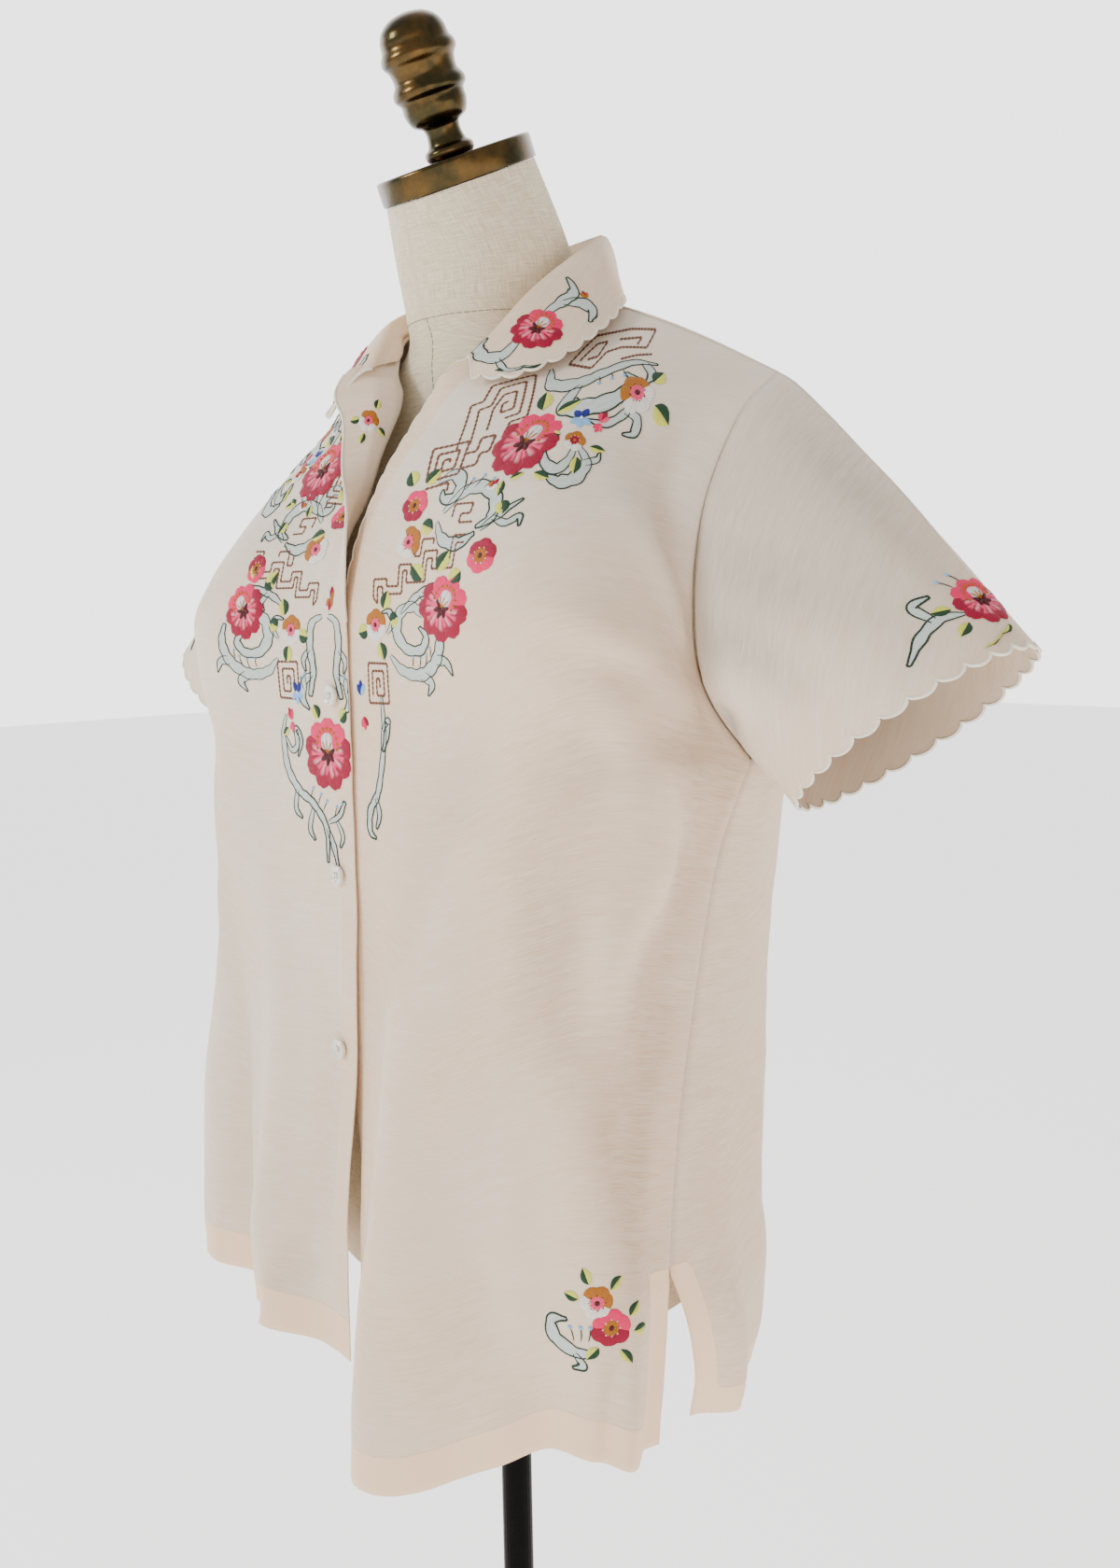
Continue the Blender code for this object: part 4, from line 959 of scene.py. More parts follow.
def petal(work, spot, angle, near, far, width, dye, lift=0.6, cross=8, along=6, notch=0.0,
          centre=(0, 0)):
    dx, dy = math.cos(math.radians(angle)), math.sin(math.radians(angle))
    spine = [(centre[0] + dx * r, centre[1] + dy * r) for r in (near, (near + far) / 2, far)]
    shape = [width * w for w in (0.42, 0.70, 0.92, 1.0, 0.90, 0.62)]
    satin(work, spot, spine, shape, dye, lift, cross, along, crown=0.16, notch=notch)


def fringe(at):  # long and short stitches of crimson into rose, with white between
    def dye(s, t):
        k = round((s + 1) / 2 * 8)
        tone = silk["crimson" if t > at + (0.16, -0.12, 0.06, -0.18, 0.12)[k % 5] else "rose"]
        if t < 0.62 and k % 3 == 1:
            return tuple(0.6 * a + 0.4 * b for a, b in zip(tone, silk["white"]))
        return tone
    return dye


def heartDye(s, t):
    shade = 1 if round(s * 5) % 2 else 0.75
    return tuple(shade * c for c in silk["white"])


def leaf(work, spot, x, y, angle, length=11.0, width=3.5):
    length, width = length * 1.08, width * 1.3
    dx, dy = math.cos(math.radians(angle)), math.sin(math.radians(angle))
    half = width * 0.56
    for side, colour in ((1, "green"), (-1, "lime")):
        spine = []
        for r in (0, 0.3, 0.6, 1):
            out = side * width * 0.48 * math.sin(math.pi * r)
            spine.append((x + dx * r * length - dy * out, y + dy * r * length + dx * out))
        satin(work, spot, spine, [0.1, half * 0.8, half, half * 0.7, 0.05], colour, lift=0.55,
              along=7, slant=0.7)


def bigFlower(work, spot, r):
    for angle in (128, 52, 90):
        petal(work, spot, angle, r * 0.18, r * 0.98, r * 0.37, "pink", 0.55 + 0.1 * (angle % 3), 10, 8,
              0.06)
    for angle in (166, 14, 206, -28, 250, -68):
        petal(work, spot, angle, r * 0.18, r, r * 0.37, fringe(0.46 if angle > 0 else 0.36),
              0.55 + 0.1 * (angle % 3), 10, 8, 0.06)
    petal(work, spot, 90, r * 0.02, r * 0.62, r * 0.33, heartDye, 0.95, 8, 5)
    for k in range(11):
        a = math.radians(-18 + k * 216 / 10)
        rays = [(r * f * math.cos(a), r * 0.26 + r * f * math.sin(a)) for f in (0.33, 0.41, 0.49)]
        satin(work, spot, rays, [0.2, r * 0.062, r * 0.075, r * 0.062, 0.2], "ochre", 1.25, 3, 3)
    for angle in (62, 90, 118):
        petal(work, spot, angle, 0, r * 0.44, r * 0.055, "ochre", 1.35, 2, 4)
    for angle in (-90, -35, -145, 25, 155):
        petal(work, spot, angle, 0, r * 0.36, r * 0.09, "maroon", 1.2, 3, 4)


def roundFlower(work, spot, r, halves, middle="rose", core="maroon", count=6, start=0):
    for k in range(count):
        petal(work, spot, start + k * 360 / count, r * 0.25, r, r * 0.50,
              halves[0] if k * 2 < count else halves[1], 0.5, 5, 5, 0.06)
    for k in range(9):
        petal(work, spot, k * 40, r * 0.05, r * 0.54, r * 0.20, middle, 0.85, 2, 3)
    for k in range(8):
        a = math.radians(k * 45)
        knot(work, spot, r * 0.44 * math.cos(a), r * 0.44 * math.sin(a), r * 0.06,
             "maroon" if middle == "rose" else "white")
    knot(work, spot, 0, 0, r * 0.22, core)


def blossom(work, spot, r=6.5):
    for angle, colour in ((60, "royal"), (130, "royal"), (205, "sky"), (265, "sky"), (325, "sky")):
        petal(work, spot, angle, r * 0.1, r, r * 0.34, colour, 0.5, 3, 4)
    knot(work, spot, 0, 0, r * 0.16, "white")


def bud(work, spot, x, y, angle, r, left, middle, right):
    for turn, far, colour in ((28, 0.8, left), (-28, 0.8, right), (0, 1.0, middle)):
        petal(work, spot, angle + turn, 0, r * far, r * 0.22, colour, 0.5, 3, 4, centre=(x, y))


def sprig(work, spot, *stems):
    for x0, y0, x1, y1 in stems:
        middle = ((x0 + x1) / 2 + 0.4, (y0 + y1) / 2)
        stemStitch(work, spot, [(x0, y0), middle, (x1, y1)], width=0.35)
        knot(work, spot, x1, y1, 1.25, "sky")


def keySpiral(work, spot, w, h, gap=4.6):
    backStitch(work, spot, (-w, h), (w, h), (w, -h), (-w, -h), (-w, h))
    a, b, c, d = w - gap, h - gap, w - 2 * gap, h - 2 * gap
    backStitch(work, spot, (-a, -b), (-a, b), (a, b), (a, -b), (-c, -b), (-c, d), (c, d), (c, -d))


# Each row is a spot, its turn, and what is stitched there.
bibMotifs = (
    ("keySquare", 0, (keySpiral, 11, 12)),
    ("curl", 0,
     (scroll, ((16, 22), (5, 29), (-8, 24), (-12, 8), (-3, -6), (12, -7), (19, 4), (12, 12)),
      (2.5, 4.2, 4.6, 4.6, 4.4, 4.0, 3.0, 1.4)),
     (scroll, ((-20, -12), (-8, -25), (11, -28), (28, -16), (35, 3), (32, 21)),
      (1.0, 4.4, 5.2, 5.0, 4.0, 1.4)),
     (scroll, ((29, -15), (39, -17), (44, -28)), (4.2, 3.6, 0.5)),
     (scroll, ((12, -29), (20, -36), (15, -46)), (4.2, 3.4, 0.6)),
     (sprig, (2, -21, 3, -13), (9, -22, 11, -14), (16, -19, 18, -11), (22, -13, 23, -5)),
     (scroll, ((-22, 6), (-16, 16), (-20, 25), (-27, 24)), (1.0, 2.6, 2.4, 0.6))),
    ("lower", -28, (bigFlower, 17.5)),
    ("lower", 0, (leaf, -16, 15, 140, 11), (leaf, -6, 19, 62, 11)),
    ("vine", 0, (scroll, ((-20, -16), (-6, -6), (8, 0), (22, 4)), (0.6, 2.6, 2.8, 1.2)),
     (scroll, ((2, -2), (8, -9), (5, -16)), (2.0, 2.2, 0.6))),
    ("redpink", 20, (roundFlower, 9.0, ("crimson", "pink"), "ochre")),
    ("redpink", 0, (leaf, -12, -7, 215, 9)),
    # small flowers down the front edge
    ("ochrePink", 30, (roundFlower, 9.5, ("ochre", "white"))),
    ("ochrePink", 0, (leaf, 7, 9, 75, 10), (leaf, -8, -3, 190, 8), (leaf, 3, -10, -75, 10),
     (leaf, 13, 2, 20, 7)),
    ("ochreWhite", -30, (roundFlower, 9.5, ("ochre", "white"))),
    ("pink", 0, (roundFlower, 9.5, ("pink", "crimson"), "ochre"), (leaf, -5, 12, 120, 9),
     (leaf, 4, 12, 50, 10), (leaf, 9, -11, -20, 9)),
    # the stepped fret band, and curls between the frets
    ("step", 0,
     (backStitch, (-38, -21), (-38, -9), (-25, -9), (-25, -14), (-14, -14), (-14, 0), (-2, 0),
      (-2, -7), (10, -7), (10, 8), (24, 8), (24, 1), (37, 1), (37, 17), (48, 17)),
     (backStitch, (-34, -25), (-34, -14), (-29, -14), (-29, -19), (-10, -19), (-10, -4), (-6, -4),
      (-6, -12), (14, -12), (14, 3), (20, 3), (20, -4), (41, -4), (41, 12), (48, 12)),
     (backStitch, (-38, -21), (-34, -25)),
     (backStitch, (0, 12), (0, 5), (6, 5), (6, 16), (18, 16), (18, 12))),
    ("cloud", 0,
     (scroll, ((-30, 20), (-18, 25), (-8, 18), (-10, 8), (-20, 8), (-23, 14)),
      (1.2, 4.2, 4.4, 4.0, 3.0, 0.8)),
     (scroll, ((-16, -2), (-4, 10), (12, 14), (26, 6), (28, -8), (18, -14)),
      (1.2, 3.8, 4.6, 4.4, 3.6, 1.0)),
     (scroll, ((-20, -8), (-12, -20), (4, -24), (18, -18)), (1.0, 4.0, 4.2, 1.2)),
     (scroll, ((22, -16), (34, -6), (46, 4)), (1.2, 2.8, 0.6)),
     (scroll, ((30, -8), (40, -12), (48, -8), (50, -14)), (1.6, 2.4, 2.2, 0.5)),
     (backStitch, (-6, -6), (-6, 3), (10, 3), (10, -4), (2, -4), (2, -10), (14, -10)),
     (sprig, (-2, 12, 2, 20), (6, 14, 10, 22), (14, 13, 19, 19))),
    ("budCluster", 0, (bud, -2, -2, 60, 7.5, "ochre", "crimson", "white"),
     (bud, 0, -2, 130, 6.5, "white", "ochre", "crimson"), (leaf, 9, -10, -70, 8),
     (leaf, 9, 3, 35, 7, 1.8)),
    # the upper frets
    ("diamond", 20,
     (backStitch, (-24, -20), (-14, 12), (-6, 12), (0, 24), (27, 24), (22, -14), (12, -14), (8, -26)),
     (backStitch, (-14, -20), (-9, 6), (-1, 6), (5, 19), (21, 19), (17, -9), (8, -9)),
     (backStitch, (-3, -14), (0, 2), (7, 12), (15, 12), (13, -3), (5, -3), (6, 4), (10, 5))),
    ("block", 8, (keySpiral, 11, 10, 4.4),
     (backStitch, (11, 2), (18, 2), (18, 10), (26, 10), (26, 0), (21, 0), (21, -7), (11, -7)),
     (backStitch, (-11, -14), (6, -14), (6, -19))),
    ("big", -22, (bigFlower, 20.0)),
    ("big", 0, (leaf, 1, 21, 100, 12, 3.4), (leaf, 10, 18, 35, 12, 3.2), (leaf, 13, -19, -20, 9, 2.0),
     (leaf, -3, -22, -100, 8, 2.0)),
    # the shoulder, with its blossom, tiny flowers, curls and lattice
    ("blue", 0, (blossom,)),
    ("redBud", 0, (bud, 0, 0, 60, 7.0, "pink", "crimson", "rose"),
     (bud, 0, -1, -120, 6.0, "rose", "pink", "pink")),
    ("tiny", 0, (roundFlower, 6.0, ("ochre", "white"), "crimson", "ochre", 5),
     (leaf, 8, -3, -12, 8, 1.8), (leaf, -8, 4, 160, 7, 1.8), (leaf, 2, -9, -95, 9, 2.4)),
    ("heart", 0,
     (scroll, ((2, 18), (-2, 6), (-10, -2), (-19, 4), (-20, 13)), (1.0, 2.6, 4.0, 4.0, 1.0)),
     (scroll, ((3, 18), (10, 4), (4, -9), (-8, -12), (-18, -6)), (1.0, 3.4, 5.0, 5.0, 1.2)),
     (scroll, ((9, 3), (17, 6), (19, 12)), (2.6, 2.4, 0.6))),
    ("shoulderFlower", 60, (roundFlower, 9.5, ("ochre", "white"))),
    ("shoulderFlower", 0, (leaf, 10, 6, 40, 10, 3.0), (leaf, 9, -6, -40, 10, 3.0)),
    ("tendril", 0, (scroll, ((14, 16), (6, 2), (-8, -6), (-20, -4)), (1.2, 2.8, 3.0, 0.6)),
     (scroll, ((6, 3), (14, -2), (12, -12), (4, -13)), (1.6, 3.2, 2.8, 0.6))),
    ("upperCurl", 0,
     (scroll, ((-34, 12), (-30, -2), (-14, -4), (0, 4), (18, 14), (34, 14)),
      (0.8, 3.8, 4.6, 4.0, 3.4, 0.8)),
     (scroll, ((-12, -6), (-16, -18), (-4, -24), (10, -20), (20, -8), (14, 2)),
      (1.2, 4.8, 5.2, 4.8, 4.0, 1.0)),
     (scroll, ((26, 14), (30, 2), (26, -8)), (2.4, 3.0, 0.6)),
     (sprig, (-2, 0, -1, -7), (5, 3, 6, -4), (12, 6, 13, -1))),
    ("lattice", -6,
     (backStitch, (-34, -10), (-20, 8), (10, 14), (34, 16), (28, 4), (6, 2), (-6, -2), (-14, -12),
      (-34, -10)),
     (backStitch, (-26, -8), (-16, 3), (-8, 5), (-12, -5), (-20, -7)),
     (backStitch, (2, 7), (22, 10), (19, 5)), (backStitch, (8, -6), (22, -2), (34, 0))),
)
# Each spot is across, up, and the drawing's width and height there.
leftSpots = {
    "keySquare": (0.058, 0.655, 0.8, 0.96), "curl": (0.15, 0.692, 0.92, 0.66),
    "lower": (0.268, 0.722, 1.42, 1.06), "vine": (0.19, 0.734, 0.9, 0.8),
    "redpink": (0.378, 0.766, 1.3, 1.1), "ochrePink": (0.06, 0.702, 1.05, 1.0),
    "ochreWhite": (0.14, 0.771, 1.2, 1.0), "pink": (0.126, 0.802, 1.2, 1.05),
    "step": (0.165, 0.754, 0.95, 0.85), "cloud": (0.292, 0.803, 0.95, 0.85),
    "budCluster": (0.371, 0.824, 1.1, 1.0), "diamond": (0.222, 0.898, 1.0, 0.95),
    "block": (0.168, 0.846, 1.2, 1.1), "big": (0.405, 0.868, 1.08, 1.24),
    "blue": (0.533, 0.895, 1.0, 1.25), "redBud": (0.586, 0.896, 1.0, 1.3),
    "tiny": (0.545, 0.873, 1.0, 1.25), "heart": (0.56, 0.85, 0.75, 0.85),
    "shoulderFlower": (0.645, 0.931, 1.0, 1.7), "tendril": (0.625, 0.906, 0.75, 1.0),
    "upperCurl": (0.495, 0.941, 0.92, 1.1), "lattice": (0.412, 0.967, 0.66, 1.9),
}
rightSpots = {
    "keySquare": (0.128, 0.656, 1.0, 0.95), "curl": (0.235, 0.69, 1.0, 0.66),
    "lower": (0.287, 0.723, 1.1, 1.06), "vine": (0.215, 0.738, 0.9, 0.8),
    "redpink": (0.292, 0.762, 1.0, 1.1), "ochrePink": (0.119, 0.7, 1.1, 1.0),
    "ochreWhite": (0.094, 0.768, 1.3, 1.0), "pink": (0.052, 0.801, 1.3, 1.0),
    "step": (0.165, 0.752, 0.85, 0.85), "cloud": (0.185, 0.806, 0.85, 0.85),
    "budCluster": (0.25, 0.826, 1.0, 1.0), "diamond": (0.15, 0.898, 1.0, 0.95),
    "block": (0.13, 0.846, 1.0, 1.0), "big": (0.252, 0.868, 1.1, 1.15),
    "blue": (0.36, 0.89, 1.0, 1.2), "redBud": (0.41, 0.89, 1.0, 1.2),
    "tiny": (0.38, 0.872, 1.0, 1.2), "heart": (0.43, 0.848, 0.75, 0.85),
    "shoulderFlower": (0.47, 0.925, 1.0, 1.5), "tendril": (0.48, 0.902, 0.75, 1.0),
    "upperCurl": (0.37, 0.936, 0.95, 1.1), "lattice": (0.33, 0.972, 0.8, 1.7),
}
# What stands on the right front's button line.
centreSpots = {"bloom": (0.012, 0.592, 1.12, 1.0), "bloomLeaves": (0.012, 0.622, 1.0, 1.0),
               "upperBud": (0.012, 0.728, 1.0, 1.0), "lowerBud": (0.012, 0.724, 1.0, 1.0),
               "arch": (0.014, 0.676, 1.0, 0.85), "tail": (0.012, 0.567, 1.0, 0.88),
               "pinkBud": (0.12, 0.621, 1.0, 1.0), "blue": (0.098, 0.645, 1.0, 1.0)}
archScrolls = ((((3, 27), (13, 22), (15, 6), (12, -12), (16, -30)), (1.4, 3.2, 3.2, 3.0, 1.8)),
               (((13, -14), (22, -20), (25, -32), (18, -40)), (1.4, 3.6, 3.6, 0.8)),
               (((16, 4), (22, -4), (20, -12)), (1.4, 2.4, 0.6)))
archSprigs = ((19, -24, 21, -14), (23, -26, 26, -17))


def arch(work, spot):  # two mirrored stalks
    for side in (-1, 1):
        for spine, widths in archScrolls:
            scroll(work, spot, [(side * x, y) for x, y in spine], widths)
        sprig(work, spot, *((side * x0, y0, side * x1, y1) for x0, y0, x1, y1 in archSprigs))


centreMotifs = (
    ("bloom", 0, (bigFlower, 23.0)),
    ("bloomLeaves", 0, (leaf, -13, 0, 140, 9), (leaf, 9, 0, 60, 9)),
    ("upperBud", 0, (bud, -3, -6, 85, 9, "ochre", "crimson", "white")),
    ("lowerBud", 0, (bud, -3, 0, -85, 9, "ochre", "crimson", "ochre")),
    ("arch", 0, (arch,)),
    ("tail", 0,
     (scroll, ((47, 46), (51, 30), (47, 8), (34, -8), (18, -16), (5, -32), (4, -56)),
      (0.8, 2.4, 3.0, 3.2, 2.8, 2.4, 0.9)),
     (scroll, ((36, -8), (38, -22), (31, -28)), (1.6, 2.4, 0.9)),
     (scroll, ((18, -20), (22, -34), (17, -42)), (1.5, 2.3, 0.9)),
     (scroll, ((4, -32), (-2, -44), (-6, -58)), (1.2, 2.4, 1.0)),
     (scroll, ((2, -28), (-9, -22), (-16, -12)), (1.2, 2.2, 1.4)),
     (scroll, ((-6, -26), (-12, -36), (-9, -44)), (1.2, 2.0, 0.8)),
     (scroll, ((49, 30), (42, 20), (35, 24), (36, 36), (30, 28), (34, 16)),
      (0.8, 2.0, 2.4, 2.0, 2.0, 0.8)),
     (sprig, (12, -16, 9, -9), (7, -20, 3, -13), (-4, -24, -7, -16), (20, -12, 17, -5),
      (-9, -21, -13, -13))),
    ("pinkBud", 0, (bud, 0, 0, 60, 8, "pink", "crimson", "pink"),
     (bud, 0, -2, -90, 7, "pink", "rose", "pink"), (leaf, 5, -6, -40, 7, 2.0)),
    ("blue", 0, (blossom, 7.5)),
)
lapelSpots = {"lapel": (-0.36, 0.905, 1.1, 1.35)}
lapelMotifs = (("lapel", 0, (roundFlower, 5.6, ("ochre", "white")), (leaf, 4, 6, 70, 5.0, 1.4),
                (leaf, -5, 1, 190, 5.0, 1.4), (leaf, -2, -6, 250, 5.0, 1.4),
                (leaf, 5, -3, -40, 5.0, 1.4)),)
collarSpots = {"bloom": (0.845, 0.72, 1.0, 1.0), "low": (0.93, 0.66, 0.85, 1.25),
               "high": (0.735, 0.70, 0.72, 1.15), "bud": (0.673, 0.76, 1.0, 1.0)}
collarMotifs = (
    ("bloom", -35, (bigFlower, 16.0)),
    ("low", 0, (scroll, ((14, 4), (2, -6), (-10, -6), (-16, 4), (-9, 11)), (1.6, 3.6, 4.2, 4.0, 0.8)),
     (scroll, ((2, -8), (8, -14), (2, -18)), (1.6, 2.4, 0.8))),
    ("high", 0, (scroll, ((-20, -8), (-6, 0), (6, 8), (4, 20)), (1.4, 3.6, 4.0, 0.8)),
     (scroll, ((-4, 0), (10, 0), (20, -4), (16, -13)), (1.6, 3.8, 4.2, 1.0))),
    ("bud", 0, (bud, 0, 0, 100, 6.0, "ochre", "crimson", "ochre")),
)
sleeveSpots = {"bloom": (0.478, 0.86, 1.0, 1.0), "stalk": (0.405, 0.86, 1.0, 1.0)}
sleeveMotifs = (
    ("bloom", 20, (bigFlower, 15.5), (leaf, -17, 3, 150, 9, 2.4), (leaf, -16, -8, 210, 9, 2.4),
     (leaf, 1, -17, -80, 9, 2.4), (sprig, (-6, 13, -10, 20), (0, 14, -2, 21))),
    ("stalk", 0, (scroll, ((12, 6), (0, 2), (-8, -8), (-12, -22)), (0.8, 2.8, 3.0, 0.8)),
     (scroll, ((-2, 2), (-12, 10), (-4, 15)), (1.6, 2.6, 0.8))),
)
# The end of the stalk on the left front, and the sprays at its hem.
lowSpots = {"end": (0.052, 0.582, 1.0, 1.0), "blueBud": (0.018, 0.644, 1.0, 1.0),
            "redBud": (0.022, 0.626, 1.0, 1.0), "ochre": (0.677, 0.166, 1.0, 1.0),
            "red": (0.725, 0.140, 1.0, 1.0), "hemCurl": (0.605, 0.125, 1.0, 1.0)}
lowMotifs = (
    ("end", 0,
     (scroll, ((4, 44), (5, 22), (2, 0), (-2, -14), (-9, -24), (-10, -36), (-4, -40)),
      (0.8, 2.0, 2.2, 2.4, 2.6, 2.2, 0.8)),
     (scroll, ((4, 24), (9, 30), (7, 20), (4, 12)), (0.8, 2.0, 2.0, 0.8)),
     (scroll, ((-3, -16), (0, -26), (-3, -34)), (1.0, 2.2, 0.8))),
    ("blueBud", 0, (bud, 0, 0, 90, 9, "royal", "royal", "sky")),
    ("redBud", 0, (bud, 0, 0, -80, 8, "crimson", "pink", "pink")),
    ("ochre", 0, (roundFlower, 9.6, ("ochre", "white")), (leaf, -4, 10, 110, 8.5, 2.3),
     (leaf, 8, 6, 40, 8.5, 2.3), (leaf, -10, 2, 160, 8.5, 2.3)),
    ("red", 0, (roundFlower, 10.8, ("pink", "crimson"), "ochre", "maroon", 6, 20),
     (leaf, 10, 6, 50, 8.5, 2.3), (leaf, -7, -10, 230, 8.5, 2.3), (leaf, 5, -12, -50, 8.5, 2.3),
     (leaf, 12, -2, 0, 8.5, 2.3)),
    ("hemCurl", 0,
     (scroll, ((16, -6), (4, -8), (-8, -2), (-10, 8), (0, 10)), (1.0, 3.4, 4.2, 3.4, 0.8)),
     (scroll, ((4, -9), (8, -15), (2, -18)), (1.4, 2.4, 0.6)),
     (sprig, (4, -2, 2, 6), (8, -1, 8, 7), (12, 0, 13, 8))),
)


def sewMotifs(work, key, flip, spots, motifs, side=1, inside=False):
    for name, turn, *stitches in motifs:
        across, up, wide, tall = spots[name]
        spot = hoop(key, side * across, up, turn, flip, wide, tall, inside)
        for stitch, *values in stitches:
            stitch(work, spot, *values)


def embroider():
    thread = silkMaterial()
    works = {key: newWork() for key in ("L", "R", "C", "SL", "SR")}
    for key, flip, spots, motifs, *where in (
        ("L", 1, leftSpots, bibMotifs), ("R", -1, rightSpots, bibMotifs),
        ("R", -1, centreSpots, centreMotifs), ("R", 1, lapelSpots, lapelMotifs, 1, True),
        ("C", 1, collarSpots, collarMotifs, 1), ("SL", 1, sleeveSpots, sleeveMotifs),
        ("C", -1, collarSpots, collarMotifs, -1), ("SR", -1, sleeveSpots, sleeveMotifs),
        ("L", 1, lowSpots, lowMotifs),
    ):
        sewMotifs(works[key], key, flip, spots, motifs, *where)
    for key, work in works.items():
        bm, node = work["bm"], panels[key]["node"]
        bm.normal_update()
        print("embroidery", node, len(bm.faces) * 2, "triangles")
        piece = finishPiece(f"embroidery_{node}", bm, thread, (), 80)
        panels[key]["trims"].append(piece)


# Cords, seams and buttons.
def cottonMaterial():  # soft cotton edging with a close twist
    look, tree, inputs = newMaterial("edging_cotton", (0.86, 0.80, 0.68), 0.75, Specular_IOR_Level=0.3)
    twist = speckle(tree, objectPlace(tree), 900.0, 1.0)
    colour = mixColour(tree, twist, (0.72, 0.64, 0.50), (0.94, 0.90, 0.80))
    tree.links.new(colour, inputs["Base Color"])
    raised(tree, inputs, twist, 0.6, 0.0004)
    return look


def sewCord(name, runs, radius, material, sides=1, closed=False):  # round threads along runs
    curve = bpy.data.curves.new(name, "CURVE")
    curve.dimensions, curve.bevel_depth, curve.bevel_resolution = "3D", radius, sides
    curve.use_fill_caps = True
    for points in runs:
        spline = curve.splines.new("POLY")
        spline.points.add(len(points) - 1)
        for point, place in zip(spline.points, points):
            point.co = (*place, 1.0)
        spline.use_cyclic_u = closed
    bm = takeMesh(addObject(name + "_draft", curve))
    bm.normal_update()
    print(name, sum(len(f.verts) - 2 for f in bm.faces), "triangles")
    return finishPiece(name, bm, material, (), 60)


def edgeCords(cotton):
    def rim(key, *places):
        panel, middle = panels[key], cloth["thickness"] / 2
        return [tuple(panel["p"][i, j] - panel["n"][i, j] * middle) for i, j in places]
    rows, last = panels["L"]["rows"], len(collarGrid[1]) - 1
    lapel = [(0, j) for j in range(len(rows)) if 0.70 < rows[j] < 0.948]
    ends = len(collarGrid[0]) - 1
    around = [(0, j) for j in range(8, last)] + [(i, last) for i in range(ends + 1)]
    around += [(ends, j) for j in range(last - 1, 7, -1)]
    cuff = [(i, -1) for i in range(len(sleeveGrid[0]) - 1)]
    for key, places in (("L", lapel), ("R", lapel), ("C", around), ("SL", cuff), ("SR", cuff)):
        node = panels[key]["node"]
        cord = sewCord(f"edging_{node}", [rim(key, *places)], 0.0009, cotton,
                       closed=places is cuff)
        panels[key]["trims"].append(cord)


def seamDashes(path, length=0.0030, gap=0.0012):  # short straight stitches along a line
    dashes, walked, last, start = [], 0.0, path[0], path[0]
    for place in path[1:]:
        walked += (place - last).length
        last = place
        if walked >= length + gap:
            start, walked = place, 0.0
        elif walked >= length and start is not None:
            dashes.append([tuple(start), tuple(place)])
            start = None
    return dashes


def formSeams():  # lines of stitching round the neck's foot and down the front and back
    def line(count, share, share2, angle, angle2):
        path = []
        for k in range(count + 1):
            turn = angle + (angle2 - angle) * k / count
            path.append(formSkin(formTable, share + (share2 - share) * k / count, math.sin(turn),
                                 -math.cos(turn), 1.004))
        return seamDashes(path)
    tan = newMaterial("seam_thread", (0.30, 0.25, 0.17), 0.8)[0]
    share = form["seamShare"]
    runs = line(720, share, share, 0.0, 2 * math.pi) + line(400, share, 0.45, 0.0, 0.0)
    runs += line(400, share, 0.45, math.pi, math.pi)
    runs += line(200, share, 1.0, math.pi * 0.96, math.pi * 0.96)
    sewCord("form_seams", runs, 0.00028, tan, 0)


def pearlMaterial():
    look, tree, inputs = newMaterial("button_pearl_shell", (0.80, 0.76, 0.66), 0.2, Coat_Weight=0.6)
    cloud = speckle(tree, objectPlace(tree), 260.0, 2.0)
    colour = mixColour(tree, cloud, (0.62, 0.60, 0.50), (0.93, 0.89, 0.80))
    tree.links.new(colour, inputs["Base Color"])
    return look


button = {"top": 1.131, "pitch": 0.109, "radius": 0.0062, "thick": 0.0026, "lift": 0.0008,
          "holeRadius": 0.00085, "holeOut": 0.00165 * 0.707, "threadRadius": 0.00026}


def buttonPlace(height):  # where the front's centre line is at a height, facing out
    low, high = 0.2, 0.8
    for _ in range(30):
        mid = (low + high) / 2
        low, high = (mid, high) if rightFront(0.0, mid).z < height else (low, mid)
    da = rightFront(0.012, low) - rightFront(0.0, low)
    db = rightFront(0.0, low + 0.01) - rightFront(0.0, low - 0.01)
    face = da.cross(db).normalized()
    if face.y > 0:
        face = -face
    turn = face.to_track_quat("Z", "Y").to_matrix().to_4x4()
    return Matrix.Translation(rightFront(0.0, low)) @ turn


def drilledButton():
    r, t, base, out = (button[k] for k in ("radius", "thick", "lift", "holeOut"))
    profile = [(r - 0.0009, base), (r - 0.0002, base + 0.0004), (r, base + t * 0.5),
               (r - 0.0002, base + t - 0.0004), (r - 0.0009, base + t),
               (r - 0.0016, base + t - 0.0003), (r * 0.62, base + t * 0.72),
               (r * 0.3, base + t * 0.68)]
    blank = addObject("blank", meshFrom("blank", lathe(profile, 40, 0.0, Vector((0, 0, 0)))))
    bm, hole = bmesh.new(), button["holeRadius"]
    for x, y in ((1, 1), (1, -1), (-1, 1), (-1, -1)):
        at = Matrix.Translation((x * out, y * out, base + t / 2))
        bmesh.ops.create_cone(bm, cap_ends=True, segments=14, radius1=hole, radius2=hole,
                              depth=t * 2.4, matrix=at)
    bit = addObject("drill", meshFrom("drill", bm))
    cut = blank.modifiers.new("holes", "BOOLEAN")
    cut.operation, cut.object = "DIFFERENCE", bit
    return takeMesh(blank, bit)


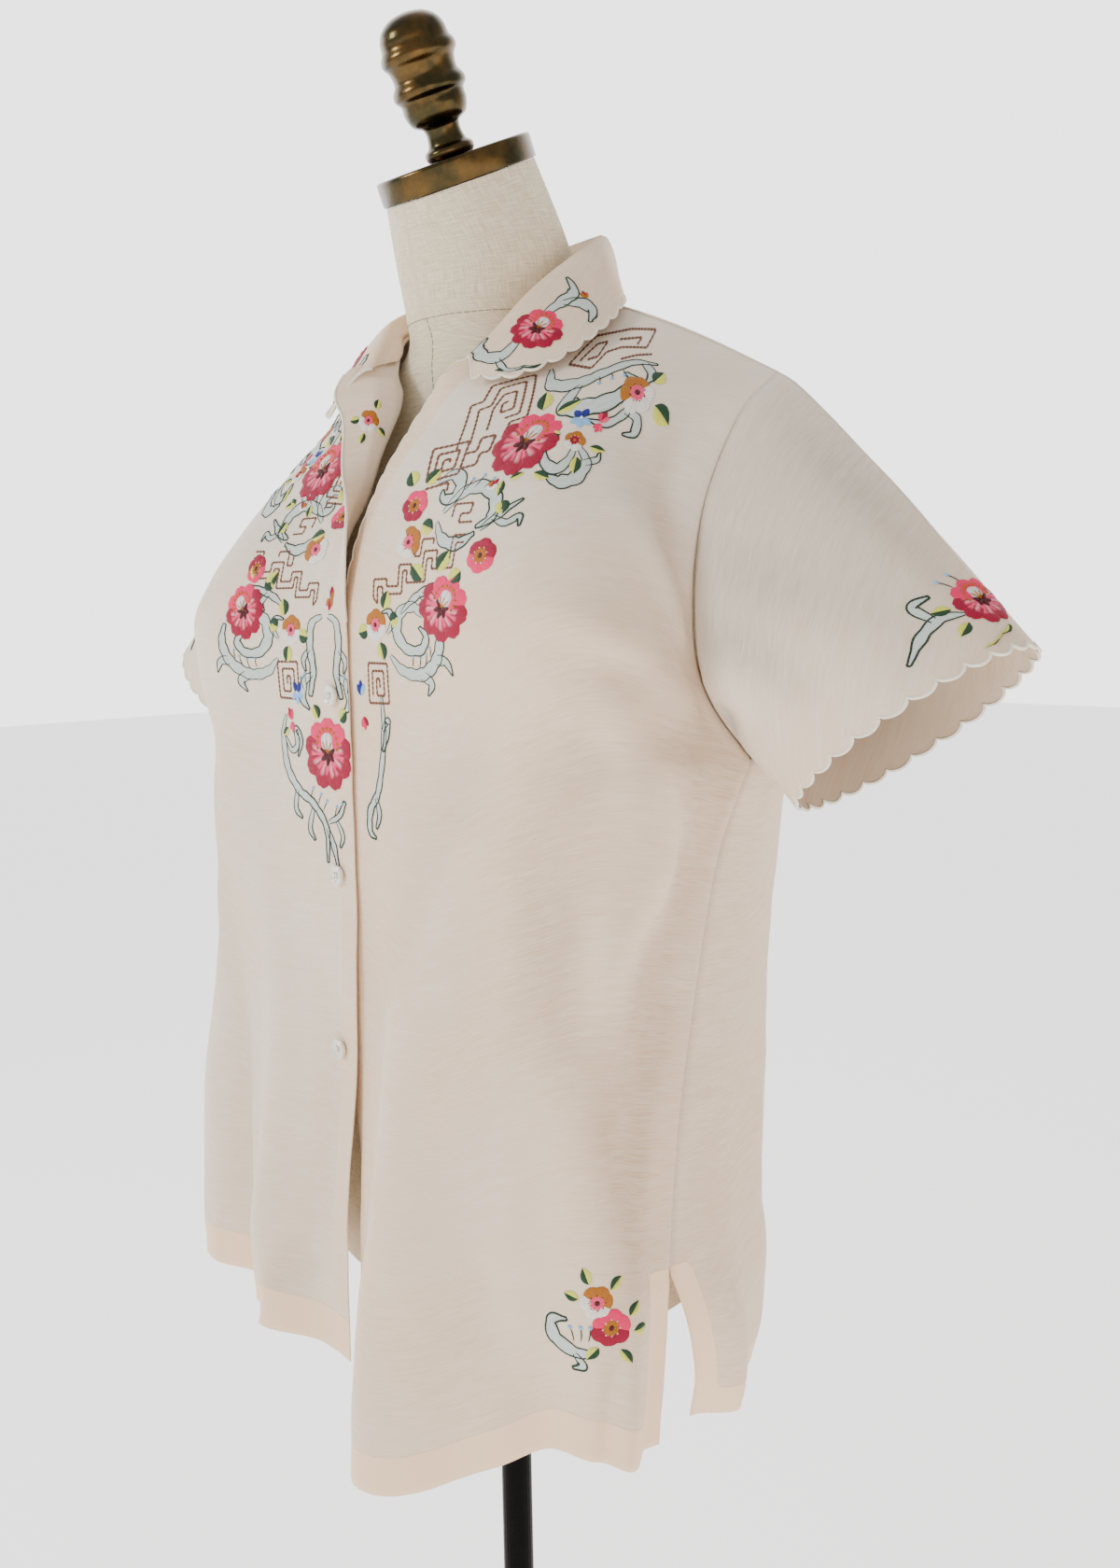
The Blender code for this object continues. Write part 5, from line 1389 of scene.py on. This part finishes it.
def makeButtons(cotton):
    pearl, out = pearlMaterial(), button["holeOut"]
    top = button["lift"] + button["thick"] * 0.82
    for k in range(3):
        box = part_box(f"button_{k + 1}")
        place = buttonPlace(button["top"] - button["pitch"] * k)
        gap = (place.translation - (box[0] + box[1]) / 2).length / mm
        print(f"button_{k + 1}: sewn {gap:.1f} mm from the middle of its CAD box")
        bm = drilledButton()
        bm.transform(place)
        finishPiece(f"pearl_button_{k + 1}", bm, pearl, (f"button_{k + 1}",), 40)
        runs = []
        for side in (-1, 1):
            for shift in (-0.00025, 0.00025):
                ends = [(side * out + shift, -side * out * 0.2 - out, top - 0.0012),
                        (side * out * 0.9 + shift, -out * 0.8, top),
                        (-side * out * 0.9 + shift, out * 0.8, top),
                        (-side * out + shift, out, top - 0.0012)]
                runs.append([tuple(place @ Vector(e)) for e in ends])
        sewCord(f"button_thread_{k + 1}", runs, button["threadRadius"], cotton)


embroider()
print("embroidery sewn")
cotton = cottonMaterial()
edgeCords(cotton)
formSeams()
makeButtons(cotton)
print("edgings, seams and buttons made")

# The floor, the light and the camera.
# lamp: place, target, size, power, colour
lamps = {"key": ((-1.2, -2.4, 2.3), (0, 0, 1.1), 0.7, 46, (1.0, 0.985, 0.95)),
         "warm_side": ((2.6, 0.9, 0.9), (0, 0, 1.0), 1.4, 9, (1.0, 0.72, 0.46)),
         "warm_front": ((1.9, -1.3, 0.8), (0, 0, 1.0), 1.2, 7, (1.0, 0.66, 0.40)),
         "cool_side": ((-2.3, -0.4, 1.7), (0, 0, 1.1), 1.4, 10, (0.74, 0.88, 1.0))}
sky = {"behind": (-0.718, 0.696, 0.0), "from": 0.1, "to": 0.75, "low": 0.72, "high": 3.0}
shot = {"place": (0.6794, -0.6054, 1.1825), "facing": 45.89, "down": 7.3, "roll": -0.96,
        "lens": 32.143, "sensor": 36.0}


def makeStudio():
    bm = bmesh.new()
    bmesh.ops.create_grid(bm, x_segments=2, y_segments=2, size=14)
    floor = addObject("studio_floor", meshFrom("studio_floor", bm))
    pale = newMaterial("pale_floor", (0.92, 0.92, 0.915), 0.8, Emission_Strength=0.95,
                       Emission_Color=(1, 1, 1, 1))[0]
    floor.data.materials.append(pale)
    world = bpy.data.worlds.new("studio")
    bpy.context.scene.world = world
    world.use_nodes = True
    tree = world.node_tree
    back = tree.nodes["Background"].inputs
    back[0].default_value = (1.0, 1.0, 1.0, 1)
    heading = addNode(tree, "TexCoord").outputs["Generated"]
    behind = addNode(tree, "VectorMath", ((0, heading), (1, sky["behind"])), operation="DOT_PRODUCT")
    glow = spread(tree, behind.outputs["Value"], sky["from"], sky["to"], sky["low"], sky["high"],
                  interpolation_type="SMOOTHSTEP")
    tree.links.new(glow, back[1])
    for name, (place, target, size, power, colour) in lamps.items():
        lamp = bpy.data.lights.new(name, "AREA")
        lamp.size, lamp.energy, lamp.color = size, power, colour
        aim = (Vector(target) - Vector(place)).to_track_quat("-Z", "Y").to_matrix().to_4x4()
        addObject(name, lamp).matrix_world = Matrix.Translation(place) @ aim
    turn, down, roll = (math.radians(shot[k]) for k in ("facing", "down", "roll"))
    ahead = Vector((-math.sin(turn) * math.cos(down), math.cos(turn) * math.cos(down), -math.sin(down)))
    right = Vector((math.cos(turn), math.sin(turn), 0))
    top = right.cross(ahead)
    rolled = right * math.cos(roll) + top * math.sin(roll)
    topRolled = top * math.cos(roll) - right * math.sin(roll)
    lens = bpy.data.cameras.new("camera")
    lens.sensor_fit, lens.sensor_height, lens.lens = "VERTICAL", shot["sensor"], shot["lens"]
    camera = addObject("camera", lens)
    facing = Matrix((rolled, topRolled, -ahead)).transposed().to_4x4()
    camera.matrix_world = Matrix.Translation(shot["place"]) @ facing
    bpy.context.scene.camera = camera


makeStudio()

for key, panel in panels.items():
    w, h = panel["cut"]
    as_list(panel["trims"])
